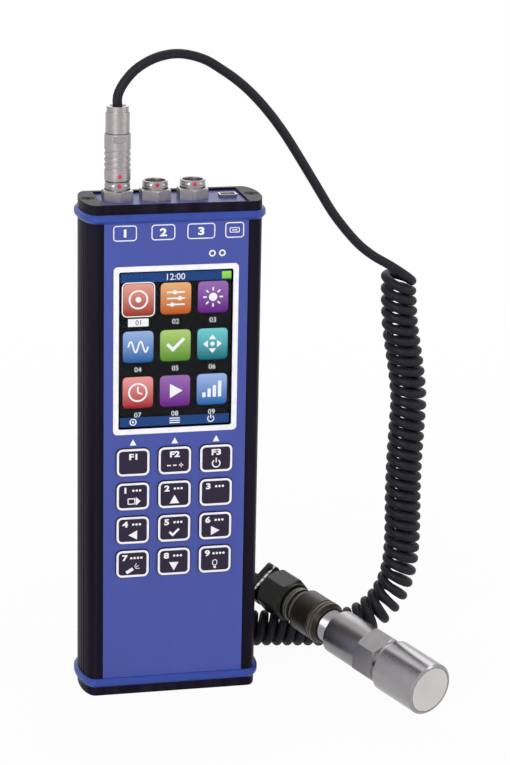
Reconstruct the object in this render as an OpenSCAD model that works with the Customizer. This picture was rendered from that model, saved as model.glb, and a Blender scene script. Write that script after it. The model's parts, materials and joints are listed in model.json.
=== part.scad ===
// Handheld vibration meter with an accelerometer on a magnet and a curly cord.
// Millimetres, Z up, keypad towards -Y, origin at the centre of the underside.

/* [Body] */
// Width across the bulged sides
body_w = 82; // [80:1:90]
// Depth from front to back
body_d = 32; // [31:0.5:38]
// Height with both end caps
body_h = 230; // [226:1:260]
// How far each side bulges past the flat front and back
side_bulge = 5.3; // [4.5:0.1:5.7]
// Wall of the extruded tube
wall = 2.4; // [2.2:0.1:2.8]
// Height of each end cap
cap_t = 4.3; // [4:0.1:6]
// Height of each seal ring
seal_t = 3.9; // [3:0.1:5]
// How far the seal rings stand out past the body
seal_proud = 1.7; // [1:0.1:2.2]
// Bevel on the outer edges of the seal rings
seal_bevel = 1.2; // [0.5:0.1:1.4]
// Number of fine grip grooves down each side
grip_count = 7; // [3:2:9]
// Distance from one grip groove to the next
grip_pitch = 2.8; // [2.2:0.1:3]
// Width of a grip groove
grip_w = 0.8; // [0.4:0.1:1]
// Depth of a grip groove
grip_depth = 0.5; // [0.2:0.1:0.7]

/* [Front] */
// Distance from the side of the body to the front panel
panel_margin = 8.5; // [7.5:0.1:10]
// Thickness of the front panel
panel_t = 0.8; // [0.6:0.1:1]
// Distance from the side of the front panel to the screen frame
frame_margin = 4.25; // [3.5:0.05:5.5]
// Height of the white frame round the screen
frame_h = 77.3; // [74:0.5:79]
// Width of the bars of the screen frame
frame_bar = 2.4; // [1.8:0.1:3]
// How far the screen frame stands out of the panel
frame_proud = 0.4; // [0.2:0.05:0.6]
// Distance from the top of the body to the screen frame
frame_drop = 27.8; // [26:0.1:30]
// Thickness of the clear window in the frame
lens_t = 1; // [0.8:0.1:1.1]
// Thickness of the display behind the window
display_t = 3.6; // [3:0.1:4]
// Diameter of the two status lights
led_d = 1.7; // [1.4:0.1:2]
// Distance between the status lights
led_pitch = 4.5; // [4:0.1:5.5]
// Distance from the top of the body to the status lights
led_drop = 23; // [22:0.1:24]

/* [Keys] */
// Distance from the side of the front panel to the keys
key_margin = 5.7; // [4.5:0.1:7]
// Height of a key
key_h = 13.2; // [12.5:0.1:14]
// Space between two columns of keys
key_gap_x = 3.7; // [3:0.1:4.2]
// Space between two rows of keys
key_gap_z = 2.9; // [2.6:0.1:3.2]
// Corner radius of a key
key_r = 2.8; // [2:0.1:3.2]
// How far a key stands out of the panel
key_proud = 0.8; // [0.7:0.05:1]
// How far a key can be pressed in
key_travel = 0.5; // [0.3:0.05:0.55]
// Distance from the screen frame to the first row of keys
keypad_drop = 6.45; // [5.5:0.05:7.5]

/* [Connectors] */
// Outer diameter of the threaded socket shells
socket_d = 11.6; // [11:0.1:12]
// Bore of the socket shells that takes a plug
socket_bore = 9.2; // [8.8:0.1:9.6]
// Height of the sockets above the connector plate
socket_rise = 8.5; // [8:0.1:10]
// Depth of the plug bore below the socket rim
socket_depth = 8; // [7:0.1:9]
// Width across the flats of the socket nuts
nut_af = 13; // [12.8:0.1:13.6]
// Height of the socket nuts
nut_t = 4.9; // [4:0.1:5.4]
// Outer diameter of the release sleeve on the plug
sleeve_d = 11.7; // [11.4:0.1:12.4]
// Length of the release sleeve
sleeve_l = 21.2; // [20:0.1:24]
// How far the release sleeve can be pulled back
sleeve_travel = 1; // [0.5:0.1:1]
// Outer diameter of the collet nut
collet_d = 10.7; // [10.4:0.1:11]
// Length of the collet nut
collet_l = 11.9; // [10:0.1:14]

/* [Sensor] */
// Diameter of the magnet
magnet_d = 25; // [24:0.5:27]
// Length of the magnet
magnet_l = 28.5; // [26:0.5:30]
// Width across the flats of the hexagon on the sensor
hex_af = 21.6; // [20.5:0.1:22]
// Length of the hexagon
hex_l = 12.6; // [10:0.1:14]
// Diameter of the round part of the sensor
can_d = 21.4; // [20:0.1:22]
// Length of the round part of the sensor
can_l = 22.1; // [20:0.1:24]
// Diameter of the threaded neck of the sensor
neck_d = 15.4; // [14.8:0.1:16]
// Length of the neck that shows
neck_l = 6.8; // [5:0.1:8]
// Diameter of the coupling nut
coupling_d = 20.4; // [19.6:0.1:21]
// Length of the coupling nut
coupling_l = 18.1; // [17:0.1:20]
// Width across the flats of the backshell behind the coupling nut
backshell_af = 19.6; // [19:0.1:20]
// Length of the ribbed front of the backshell
rib_l = 7.2; // [6:0.1:8]
// Length of the six-sided part of the backshell
backshell_l = 18.1; // [17:0.1:20]
// Length of the clamp that grips the cord
clamp_l = 7.9; // [7:0.1:9]

/* [Cord] */
// Diameter of the cord
cord_d = 4.3; // [4:0.1:4.3]
// Outer diameter of the curls
curl_d = 17.5; // [16.5:0.1:17.5]
// Least gap between two curls
curl_gap = 0.65; // [0.65:0.05:0.9]

/* [Hidden] */

// Each key has a node name, a column from the left and a row from the top.
KEYS = [["key_f1", 0, 0], ["key_f2", 1, 0], ["key_f3", 2, 0],
    ["key_1", 0, 1], ["key_2", 1, 1], ["key_3", 2, 1],
    ["key_4", 0, 2], ["key_5", 1, 2], ["key_6", 2, 2],
    ["key_7", 0, 3], ["key_8", 1, 3], ["key_9", 2, 3]];
key_columns = 3;
key_rows = 4;

// Clearances
fit = 0.05;
slip = 0.15;
clear = 0.3;
over = 1;

// Widths of the flat front, of the panel on it and of what is set in the panel
flat_w = body_w - 2 * side_bulge;
panel_w = body_w - 2 * panel_margin;
frame_w = panel_w - 2 * frame_margin;
key_w = (panel_w - 2 * key_margin - (key_columns - 1) * key_gap_x) / key_columns;
led_x_share = 0.283;
led_x = panel_w * led_x_share;

// Levels of the body from its underside up and from its front in
tube_z0 = cap_t + seal_t;
tube_z1 = body_h - cap_t - seal_t;
front_y = -body_d / 2;
seat_y = front_y + panel_t;
inner_y = front_y + wall;
round_n = 20;
round_r = 0.8;
frame_r = 1.8;

// Screws that hold the end caps
screw_inset = 4;
screw_x = body_w / 2 - screw_inset;
screw_d = 3;
screw_head_d = 6.2;
screw_head_t = 1.7;
screw_l = 16;
screw_key = 2;
screw_key_depth = 1.2;
boss_d = 6.4;

// Opening of the seals, which a lip on each cap fills
lip_w = 2 * (screw_x - boss_d / 2) - 2 * clear;
lip_d = body_d - 2 * wall - 2 * clear;
lip_t = 1.4;
lip_r = 3;

// Connector plate, set into the top cap
plate_margin = 8.3;
plate_w = body_w - 2 * plate_margin;
plate_t = 0.8;
plate_drop = 1;
plate_front_rim = 0.9;
plate_back_rim = 2.5;
plate_depth = body_d - plate_front_rim - plate_back_rim;
plate_y = (plate_front_rim - plate_back_rim) / 2;
plate_z = body_h - plate_drop;
pocket_z = plate_z - plate_t;

// Sockets in the connector plate, placed as shares of its width
socket_x_shares = [-0.364, -0.104, 0.156];
usb_x_share = 0.4006;
socket_x = socket_x_shares * plate_w;
usb_x = usb_x_share * plate_w;
socket_rim_z = plate_z + socket_rise;
socket_tail = 14;
socket_tail_z = pocket_z - socket_tail;
socket_floor_z = socket_rim_z - socket_depth;
socket_flat = 0.8;
socket_rim_bevel = 0.5;
socket_shoulder = 0.4;
insert_bore = socket_bore - 2 * socket_shoulder;
insert_t = 6;
contact_d = 0.9;
contact_ring_d = 4.6;
contact_count = 5;
contact_depth = 4;
nut_bevel = 0.7;

// Small data socket on the right of the plate
usb_w = 7.7;
usb_d = 5;
usb_rise = 1.4;
usb_l = 9.5;
usb_wall = 0.5;
usb_tongue_t = 1.1;

// Plug in the first socket
sleeve_z0 = socket_rim_z + clear;
sleeve_z1 = sleeve_z0 + sleeve_l;
collet_z0 = sleeve_z1 + clear;
collet_z1 = collet_z0 + collet_l;
collet_step = 2.6;
collet_bowl = 1.2;
collet_rim = 0.9;
collet_step_r = 0.45;
plug_wall = 0.6;
plug_bore = socket_bore - 2 * fit - 2 * plug_wall;
plug_body_d = socket_bore - 2 * fit;
plug_in = 7;
plug_foot_z = socket_rim_z - plug_in;
sleeve_edge = 0.35;
sleeve_stop = sleeve_travel - clear + fit;
groove_count = 4;
groove_pitch = 2.5;
groove_w = 1.1;
groove_depth = 0.4;
groove_z = sleeve_z0 + 6;
wrench_z = 2.8;
wrench_depth = 0.8;
wrench_drop = 0.9;

// Keypad behind the panel
key_pitch_x = key_w + key_gap_x;
key_pitch_z = key_h + key_gap_z;
key_lip = 0.6;
key_flange_t = 0.8;
key_bevel = 0.3;
plunger_d = 5;
plunger_l = 1.2;
frame_z0 = body_h - frame_drop - frame_h;
key_z0 = frame_z0 - keypad_drop - key_h / 2;
keypad_w = key_columns * key_w + (key_columns - 1) * key_gap_x + 2 * key_lip;
keypad_h = key_rows * key_h + (key_rows - 1) * key_gap_z + 2 * key_lip;
keypad_z = key_z0 - (key_rows - 1) * key_pitch_z / 2;
dome_gap = key_travel + slip;
dome_d = 7;
dome_t = 1.3;
mat_t = 0.8;
mat_rim = 1.2;
mat_w = keypad_w + 2 * clear + 2 * mat_rim;
mat_h = keypad_h + 2 * clear + 2 * mat_rim;
dome_y = inner_y + slip + key_flange_t + plunger_l + dome_gap;
mat_y = dome_y + dome_t;
keypad_board_t = 1.2;
keypad_board_y = mat_y + mat_t;

// Display behind the window, the ledge that carries the window, and the lights' inner flanges
led_flange = 0.6;
ledge = 0.8;
window_w = frame_w - 2 * frame_bar;
window_h = frame_h - 2 * frame_bar;
display_margin = 1.5;
frame_z = frame_z0 + frame_h / 2;

// Main board in its rails
board_gap = 1.2;
board_t = 1.6;
board_y = keypad_board_y + keypad_board_t + board_gap;
board_inset = 0.8;
board_w = flat_w - 2 * board_inset;
board_end = 3;
board_z0 = tube_z0 + board_end;
board_z1 = socket_tail_z - board_end;
rail_t = 1.1;
rail_grip = 1.4;
chip_w = 14;
chip_t = 1;
chip_pitch = 24;
chip_count = 3;
chip_drop = 20;

// Battery in its tray against the back wall
cell_d = 14.3;
cell_l = 50.5;
cell_count = floor((2 * (screw_x - boss_d / 2) - 2 * clear) / (cell_d + clear));
tray_t = 1.5;
tray_z0 = board_z0 + board_end;
tray_lip = 5;
tray_back_y = body_d / 2 - wall;
cell_y = tray_back_y - tray_t - cell_d / 2;
tray_w = cell_count * (cell_d + clear) + clear;
tray_h = cell_l + 2 * tray_t + 2 * clear;

// Sensor: its own axis runs from the magnet's face to the cord clamp.
sensor_x = 109;
sensor_y = -66;
sensor_heading = 117;
sensor_pitch = 8.3;
face_d_share = 0.87;
face_t = 1.2;
magnet_edge = 0.8;
magnet_bevel = 3.2;
sensor_z = magnet_d / 2 * cos(sensor_pitch) - magnet_edge * sin(sensor_pitch);
hex_l0 = magnet_l;
can_l0 = hex_l0 + hex_l;
neck_l0 = can_l0 + can_l;
coupling_l0 = neck_l0 + neck_l;
rib_l0 = coupling_l0 + coupling_l + clear;
shell_l0 = rib_l0 + rib_l;
clamp_l0 = shell_l0 + backshell_l;
cord_l0 = clamp_l0 + clamp_l;
hex_turn = 6;
hex_bevel = 1.1;
hex_corner = hex_af / sqrt(3) - fit;
can_bevel = 1;
stud_d = 6;
stud_l = 14;
neck_in = 9;
neck_bore = 11;
neck_floor = 3;
coupling_wall = 2.4;
coupling_ring = 0.4;
ring_w = 0.9;
ring_pitch = 1.8;
rib_d_share = 0.86;
rib_w = 1.5;
rib_gap = 1.6;
rib_depth = 0.9;
shell_turn = 20;
shell_corner = 1.1;
shell_bevel = 2;
shell_flange_t = 1.2;
shell_flange_share = 0.96;
clamp_turn = 50;
clamp_w = 18.5;
clamp_h = 10.5;
clamp_r = 1.6;
clamp_bar_l = 5.6;
clamp_split = 0.6;
clamp_core_d = 8;
clamp_screw_d = 2;
clamp_screw_head_d = 3.4;
clamp_screw_head_t = 1.1;
clamp_screw_x = 6.6;

// Cord: the lead and the tail run straight at both ends, and the coil
// starts tangent to its first curl. These routes are chosen by hand.
lead_x = socket_x[0];
lead_z = collet_z1 - collet_bowl;
LEAD_ROUTE = [[lead_x, 0, lead_z], [lead_x, 0, lead_z + cord_d + collet_bowl],
    [-21, 0.5, 281], [-16, 1, 286.5], [-9.5, 1.5, 290.5], [-3, 2.5, 292.5], [3.5, 3.5, 293],
    [10, 4, 292], [17, 5, 289.5], [23.5, 5.5, 285.5], [30, 6.5, 281], [36, 7, 276],
    [42, 8, 270], [48, 8.5, 263], [54, 9, 255], [60, 10, 246], [66, 10.5, 236.5],
    [72, 11.5, 227], [78, 12, 217.5], [85, 12.5, 208.5], [92, 13.5, 201], [99, 14.5, 195.5],
    [104, 15, 192.5]];
COIL_ENTRY = [[104, 15, 192.5], [107.5, 15.2, 190.4], [111.5, 15.2, 187.8],
    [115.5, 15.6, 185], [118.6, 17.8, 182.4]];
COIL_ROUTE = [[113.4, 22, 184], [114, 22, 172], [115, 22, 160], [117, 22, 148], [119, 22, 136],
    [120.3, 22, 124], [120, 22, 112], [119.5, 22, 100], [119.2, 22, 88], [119.2, 22, 76],
    [119.5, 22, 64], [119.5, 22, 52], [118.5, 22, 40], [115, 22.5, 28], [108, 23.5, 18],
    [97.5, 24.5, 11.2], [86, 26, 9], [74, 28, 9], [62, 30.2, 9], [50, 32.4, 9], [38, 34.6, 9],
    [26, 36.8, 9], [18, 38.2, 9]];
TAIL_ROUTE = [[0, 43, 8], [-5, 52, 7.5], [-4, 63, 8], [3, 72, 9.5], [13, 77, 12], [24, 77, 16],
    [34, 72.5, 20.5], [42, 65, 25], [47.5, 56.5, 28.5]];
bend_side = [0.18, 0.98, 0];
curl_rings = 8;
curl_sides = 6;
lead_sides = 8;
route_steps = 8;
curl_r = (curl_d - cord_d) / 2;
lean_rest = 7;
lean_top = 18;
lean_turns = 3;
start_phase = 180;
exit_turns = 1;
exit_l = 1.5;
gap_reach = 20;
gap_skip = 6;

// Outline of the body: flat front and back, and sides that bulge as half ellipses
function side_points(w, d, flat) = [for (i = [0:round_n]) let (a = 180 * i / round_n - 90)
    [flat / 2 + (w - flat) / 2 * cos(a), d / 2 * sin(a)]];
function body_points(grow) = let (p = side_points(body_w + 2 * grow, body_d + 2 * grow, flat_w))
    concat(p, [for (q = p) [-q.x, -q.y]]);

// Outline of a rectangle with round corners
function rounded_points(w, h, r, n = 4) = [for (c = [0:3], i = [0:n])
    let (a = 90 * c + 90 * i / n, sx = c == 0 || c == 3 ? 1 : -1, sy = c < 2 ? 1 : -1)
    [sx * (w / 2 - r) + r * cos(a), sy * (h / 2 - r) + r * sin(a)]];

module rounded(w, h, r) {
    polygon(rounded_points(w, h, r));
}

// A rounded block that faces the front, from y inwards
module front_block(x, z, w, h, r, y, t) {
    translate([x, y + t, z]) rotate([90, 0, 0]) linear_extrude(t) rounded(w, h, r);
}

function key_x(column) = (column - (key_columns - 1) / 2) * key_pitch_x;
function key_z(row) = key_z0 - row * key_pitch_z;

// Body

module screw_holes(d, z, h) {
    for (side = [-1, 1]) translate([side * screw_x, 0, z]) cylinder(d = d, h = h, $fn = 32);
}

module rail_section() {
    for (side = [-1, 1]) mirror([side < 0 ? 1 : 0, 0]) difference() {
        translate([board_w / 2 - rail_grip, board_y - fit - rail_t])
            square([body_w / 2 - board_w / 2 + rail_grip, board_t + 2 * fit + 2 * rail_t]);
        translate([board_w / 2 - rail_grip - over, board_y - fit])
            square([rail_grip + over + fit, board_t + 2 * fit]);
    }
}

module tube_section() {
    difference() {
        union() {
            difference() {
                polygon(body_points(0));
                polygon(body_points(-wall));
            }
            intersection() {
                polygon(body_points(-wall / 2));
                union() {
                    rail_section();
                    for (side = [-1, 1]) translate([side * screw_x, 0]) circle(d = boss_d, $fn = 32);
                }
            }
        }
        translate([-panel_w / 2 - clear, front_y - over]) square([panel_w + 2 * clear, panel_t + over]);
        for (side = [-1, 1]) translate([side * screw_x, 0]) circle(d = screw_d + 2 * fit, $fn = 32);
        for (side = [-1, 1], i = [0:grip_count - 1])
            let (y = (i - (grip_count - 1) / 2) * grip_pitch,
                 x = flat_w / 2 + (body_w - flat_w) / 2 * sqrt(1 - pow(2 * y / body_d, 2)))
            translate([side * x, y]) square([2 * grip_depth, grip_w], center = true);
    }
}

module housing_tube() {
    color("#232030") difference() {
        translate([0, 0, tube_z0]) linear_extrude(tube_z1 - tube_z0) tube_section();
        front_block(0, frame_z, window_w - 2 * ledge, window_h - 2 * ledge, round_r,
            front_y - over, wall + 2 * over);
        for (c = [0:key_columns - 1], r = [0:key_rows - 1])
            front_block(key_x(c), key_z(r), key_w + 2 * slip, key_h + 2 * slip, key_r,
                front_y - over, wall + 2 * over);
        led_holes(led_d + 2 * fit);
    }
}

module led_holes(d) {
    for (side = [-1, 1]) translate([led_x + side * led_pitch / 2, front_y - over, body_h - led_drop])
        rotate([-90, 0, 0]) cylinder(d = d, h = wall + 2 * over, $fn = 24);
}

module front_panel() {
    color("#4b53a5") difference() {
        translate([-panel_w / 2, front_y, tube_z0]) cube([panel_w, panel_t, tube_z1 - tube_z0]);
        front_block(0, frame_z, frame_w + 2 * fit, frame_h + 2 * fit, frame_r,
            front_y - over, panel_t + 2 * over);
        for (c = [0:key_columns - 1], r = [0:key_rows - 1])
            front_block(key_x(c), key_z(r), key_w + 2 * slip, key_h + 2 * slip, key_r,
                front_y - over, panel_t + 2 * over);
        led_holes(led_d + 2 * fit);
    }
}

module countersinks(z, up) {
    for (side = [-1, 1]) translate([side * screw_x, 0, z]) mirror([0, 0, up ? 0 : 1])
        translate([0, 0, -screw_head_t])
        cylinder(d1 = screw_d + 2 * slip, d2 = screw_head_d + 2 * slip, h = screw_head_t + fit, $fn = 32);
}

module cap_lip(z0, z1) {
    translate([0, 0, z0]) linear_extrude(z1 - z0) difference() {
        rounded(lip_w, lip_d, lip_r);
        rounded(lip_w - 2 * lip_t, lip_d - 2 * lip_t, lip_r - lip_t);
    }
}

module top_cap() {
    color("#26232f") difference() {
        union() {
            translate([0, 0, body_h - cap_t]) linear_extrude(cap_t) polygon(body_points(0));
            cap_lip(tube_z1, body_h - cap_t + fit);
        }
        translate([0, plate_y, pocket_z]) linear_extrude(plate_drop + plate_t + over)
            square([plate_w + 2 * fit, plate_depth + 2 * fit], center = true);
        for (x = socket_x) translate([x, 0, tube_z1 - over])
            cylinder(d = socket_d + 2 * slip, h = cap_t + seal_t + 2 * over, $fn = 48);
        translate([usb_x, 0, body_h - cap_t / 2])
            cube([usb_w + 2 * slip, usb_d + 2 * slip, cap_t + seal_t + 2 * over], center = true);
        screw_holes(screw_d + 2 * fit, body_h - cap_t - over, cap_t + 2 * over);
        countersinks(body_h, true);
    }
}

module bottom_cap() {
    color("#26232f") difference() {
        union() {
            linear_extrude(cap_t) polygon(body_points(0));
            cap_lip(cap_t - fit, tube_z0);
        }
        screw_holes(screw_d + 2 * fit, -over, cap_t + 2 * over);
        countersinks(0, false);
    }
}

module seal(z) {
    color("#3a58aa") translate([0, 0, z]) difference() {
        hull() {
            translate([0, 0, seal_bevel]) linear_extrude(seal_t - 2 * seal_bevel)
                polygon(body_points(seal_proud));
            linear_extrude(seal_t) polygon(body_points(seal_proud - seal_bevel));
        }
        translate([0, 0, -over]) linear_extrude(seal_t + 2 * over)
            rounded(lip_w + 2 * fit, lip_d + 2 * fit, lip_r);
        screw_holes(screw_d + 2 * fit, -over, seal_t + 2 * over);
    }
}

module countersunk_screw() {
    difference() {
        union() {
            translate([0, 0, -screw_l]) cylinder(d = screw_d, h = screw_l - fit, $fn = 32);
            translate([0, 0, -screw_head_t])
                cylinder(d1 = screw_d, d2 = screw_head_d, h = screw_head_t - fit, $fn = 32);
        }
        translate([0, 0, -screw_key_depth]) cylinder(d = screw_key, h = screw_key_depth + over, $fn = 6);
    }
}

module top_cap_screws() {
    for (side = [-1, 1]) color("#17161b")
        translate([side * screw_x, 0, body_h - fit]) countersunk_screw();
}

module bottom_cap_screws() {
    for (side = [-1, 1]) color("#17161b")
        translate([side * screw_x, 0, fit]) mirror([0, 0, 1]) countersunk_screw();
}

module connector_plate() {
    color("#6d66a0") difference() {
        translate([0, plate_y, pocket_z]) linear_extrude(plate_t)
            square([plate_w, plate_depth], center = true);
        for (x = socket_x) translate([x, 0, pocket_z - over])
            cylinder(d = socket_d + 2 * slip, h = plate_t + 2 * over, $fn = 48);
        translate([usb_x, 0, pocket_z])
            cube([usb_w + 2 * slip, usb_d + 2 * slip, 2 * plate_t + over], center = true);
    }
}

// Screen and lights

module screen_frame() {
    color("#f2f0f8") difference() {
        front_block(0, frame_z, frame_w, frame_h, frame_r, front_y - frame_proud, panel_t + frame_proud);
        front_block(0, frame_z, window_w, window_h, round_r, front_y - frame_proud - over,
            panel_t + frame_proud + 2 * over);
    }
}

module screen_lens() {
    color("#101018") front_block(0, frame_z, window_w - 2 * fit, window_h - 2 * fit, round_r,
        seat_y - lens_t, lens_t);
}

module display_module() {
    color("#3d4450") {
        front_block(0, frame_z, window_w + 2 * display_margin, window_h + 2 * display_margin,
            round_r, inner_y, display_t);
        front_block(0, frame_z, window_w - 2 * ledge - 2 * slip, window_h - 2 * ledge - 2 * slip,
            round_r, seat_y + fit, inner_y - seat_y);
    }
}

module status_lights() {
    for (side = [-1, 1]) color("#c9c9d2") translate([led_x + side * led_pitch / 2, 0, body_h - led_drop])
        rotate([-90, 0, 0]) {
            translate([0, 0, front_y]) cylinder(d = led_d, h = wall + fit, $fn = 24);
            translate([0, 0, inner_y])
                cylinder(d = led_d + 2 * led_flange, h = board_y - inner_y, $fn = 24);
        }
}

// Keypad

module key(column, row) {
    color("#342d41") translate([key_x(column), 0, key_z(row)]) {
        hull() {
            front_block(0, 0, key_w, key_h, key_r, front_y - key_proud + key_bevel,
                key_proud - key_bevel + wall + slip + fit);
            front_block(0, 0, key_w - 2 * key_bevel, key_h - 2 * key_bevel, key_r - key_bevel,
                front_y - key_proud, key_proud);
        }
        front_block(0, 0, key_w + 2 * key_lip, key_h + 2 * key_lip, key_r, inner_y + slip, key_flange_t);
        translate([0, inner_y + slip, 0]) rotate([-90, 0, 0])
            cylinder(d = plunger_d, h = key_flange_t + plunger_l, $fn = 32);
    }
}

module key_domes() {
    color("#8d8d96") {
        for (c = [0:key_columns - 1], r = [0:key_rows - 1])
            translate([key_x(c), dome_y, key_z(r)]) rotate([-90, 0, 0])
                cylinder(d = dome_d, h = dome_t + fit, $fn = 24);
        front_block(0, keypad_z, mat_w, mat_h, mat_rim, mat_y, mat_t);
        difference() {
            front_block(0, keypad_z, mat_w, mat_h, mat_rim, inner_y, mat_y - inner_y + fit);
            front_block(0, keypad_z, mat_w - 2 * mat_rim, mat_h - 2 * mat_rim, mat_rim / 2,
                inner_y - over, mat_y - inner_y + 2 * over);
        }
    }
}

module keypad_board() {
    color("#1f5b38") front_block(0, keypad_z, mat_w, mat_h, mat_rim, keypad_board_y, keypad_board_t);
}

module main_board() {
    color("#1f5b38") {
        translate([-board_w / 2, board_y, board_z0]) cube([board_w, board_t, board_z1 - board_z0]);
        for (i = [0:chip_count - 1])
            translate([-chip_w / 2, board_y + board_t, board_z1 - chip_drop - chip_w - i * chip_pitch])
                cube([chip_w, chip_t, chip_w]);
    }
}

module battery_cells() {
    for (i = [0:cell_count - 1]) color("#4f7f54")
        translate([(i - (cell_count - 1) / 2) * (cell_d + clear), cell_y, tray_z0 + tray_t + clear])
            cylinder(d = cell_d, h = cell_l, $fn = 48);
}

module battery_tray() {
    color("#2b2b30") {
        translate([-tray_w / 2, tray_back_y - tray_t, tray_z0]) cube([tray_w, tray_t, tray_h]);
        for (z = [tray_z0, tray_z0 + tray_h - tray_t])
            translate([-tray_w / 2, tray_back_y - tray_t - cell_d + tray_lip, z])
                cube([tray_w, tray_t + cell_d - tray_lip, tray_t]);
    }
}

// Sockets and plug

module socket_shell(x) {
    color("#c9c6c6") translate([x, 0, 0]) difference() {
        rotate_extrude($fn = 48) polygon([[insert_bore / 2, socket_tail_z],
            [socket_d / 2, socket_tail_z], [socket_d / 2, socket_rim_z - socket_rim_bevel],
            [socket_d / 2 - socket_rim_bevel, socket_rim_z], [socket_bore / 2, socket_rim_z],
            [socket_bore / 2, socket_floor_z], [insert_bore / 2, socket_floor_z]]);
        for (side = [-1, 1]) translate([0, side * socket_d / 2, plate_z + nut_t + socket_rise / 2])
            cube([socket_d, 2 * socket_flat, socket_rise], center = true);
    }
}

module socket_nuts() {
    for (x = socket_x) color("#d4d1d1") translate([x, 0, 0]) difference() {
        intersection() {
            translate([0, 0, plate_z]) rotate(30) cylinder(r = nut_af / sqrt(3), h = nut_t, $fn = 6);
            rotate_extrude($fn = 48) polygon([[0, plate_z], [nut_af / sqrt(3), plate_z],
                [nut_af / sqrt(3), plate_z + nut_t - nut_bevel],
                [nut_af / 2 - nut_bevel / 2, plate_z + nut_t], [0, plate_z + nut_t]]);
        }
        translate([0, 0, plate_z - over])
            cylinder(d = socket_d + 2 * fit, h = nut_t + 2 * over, $fn = 48);
    }
}

module contact_holes(z) {
    for (i = [0:contact_count - 1]) rotate(360 * i / contact_count)
        translate([contact_ring_d / 2, 0, z]) cylinder(d = contact_d, h = contact_depth + over, $fn = 16);
}

module socket_inserts() {
    for (x = socket_x) color("#ddd8c8") translate([x, 0, 0]) difference() {
        translate([0, 0, socket_floor_z - insert_t])
            cylinder(d = insert_bore - 2 * fit, h = insert_t, $fn = 48);
        contact_holes(socket_floor_z - contact_depth);
    }
}

module usb_socket() {
    color("#c8c6cc") translate([usb_x, 0, plate_z + usb_rise - usb_l / 2]) difference() {
        cube([usb_w, usb_d, usb_l], center = true);
        translate([0, 0, usb_wall]) difference() {
            cube([usb_w - 2 * usb_wall, usb_d - 2 * usb_wall, usb_l], center = true);
            translate([0, 0, -usb_wall - over])
                cube([usb_w - 6 * usb_wall, usb_tongue_t, usb_l], center = true);
        }
    }
}

module plug_body() {
    color("#b9b6b6") translate([lead_x, 0, 0]) difference() {
        translate([0, 0, plug_foot_z])
            cylinder(d = plug_body_d, h = collet_z0 + clear - plug_foot_z, $fn = 48);
        translate([0, 0, plug_foot_z - over])
            cylinder(d = plug_bore, h = collet_z0 - plug_foot_z + 2 * over, $fn = 48);
    }
}

module plug_insert() {
    color("#ddd8c8") translate([lead_x, 0, plug_foot_z + clear])
        cylinder(d = plug_bore - 2 * fit, h = collet_z0 - plug_foot_z, $fn = 48);
}

// The sleeve's outline starts at its foot and has the grip grooves.
function sleeve_points() = let (r = sleeve_d / 2, g = groove_w / 2) concat(
    [[plug_body_d / 2 + fit, sleeve_z0], [r - sleeve_edge, sleeve_z0], [r, sleeve_z0 + sleeve_edge]],
    [for (i = [0:groove_count - 1], k = [0:3]) let (z = groove_z + i * groove_pitch)
        [r - (k == 0 || k == 3 ? 0 : groove_depth), z + (k < 2 ? -g : g)]],
    [[r, sleeve_z1 - sleeve_edge], [r - sleeve_edge, sleeve_z1]],
    [[collet_d / 2 + fit, sleeve_z1], [collet_d / 2 + fit, sleeve_z1 - sleeve_stop]],
    [[plug_body_d / 2 + fit, sleeve_z1 - sleeve_stop]]);

module plug_sleeve() {
    color("#c6c3c4") translate([lead_x, 0, 0]) difference() {
        rotate_extrude($fn = 48) polygon(sleeve_points());
        for (side = [-1, 1])
            translate([0, side * sleeve_d / 2, sleeve_z1 - wrench_drop - wrench_z / 2])
                cube([sleeve_d, 2 * wrench_depth, wrench_z], center = true);
    }
}

module plug_collet_nut() {
    color("#c2bfc0") translate([lead_x, 0, 0]) rotate_extrude($fn = 48) {
        polygon([[plug_body_d / 2 + fit, collet_z0], [collet_d / 2, collet_z0],
            [collet_d / 2, collet_z1 - collet_step], [collet_d / 2 - collet_step_r, collet_z1 - collet_step],
            [collet_d / 2 - collet_step_r, collet_z1],
            [collet_d / 2 - collet_step_r - collet_rim, collet_z1],
            [cord_d / 2 + clear, collet_z1 - collet_bowl], [0, collet_z1 - collet_bowl],
            [0, collet_z0 + clear], [plug_body_d / 2 + fit, collet_z0 + clear]]);
    }
}

// Sensor

module at_sensor(l = 0) {
    translate([sensor_x, sensor_y, sensor_z]) rotate([0, 90 - sensor_pitch, sensor_heading])
        translate([0, 0, l]) children();
}

// A hexagonal bar along the axis, turned down to an outline
module turned_hexagon(af, turn, outline) {
    intersection() {
        translate([0, 0, outline[0].y]) rotate(turn)
            cylinder(r = af / sqrt(3), h = outline[len(outline) - 1].y - outline[0].y, $fn = 6);
        rotate_extrude($fn = 64) polygon(outline);
    }
}

module magnet() {
    color("#b4b2b4") at_sensor() difference() {
        rotate_extrude($fn = 64) polygon([[0, 0], [magnet_d / 2 - magnet_edge, 0],
            [magnet_d / 2, magnet_edge], [magnet_d / 2, magnet_l - magnet_bevel],
            [hex_af / 2, magnet_l], [0, magnet_l]]);
        translate([0, 0, -over]) cylinder(d = magnet_d * face_d_share, h = face_t + over, $fn = 64);
        translate([0, 0, magnet_l - stud_l / 2]) cylinder(d = stud_d + 2 * fit, h = stud_l, $fn = 32);
    }
}

module magnet_face() {
    color("#cfcdcd") at_sensor()
        cylinder(d = magnet_d * face_d_share - 2 * slip, h = face_t, $fn = 64);
}

module sensor_stud() {
    color("#8f8d90") at_sensor(magnet_l - stud_l / 2 + fit)
        cylinder(d = stud_d, h = stud_l - 2 * fit, $fn = 32);
}

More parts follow.
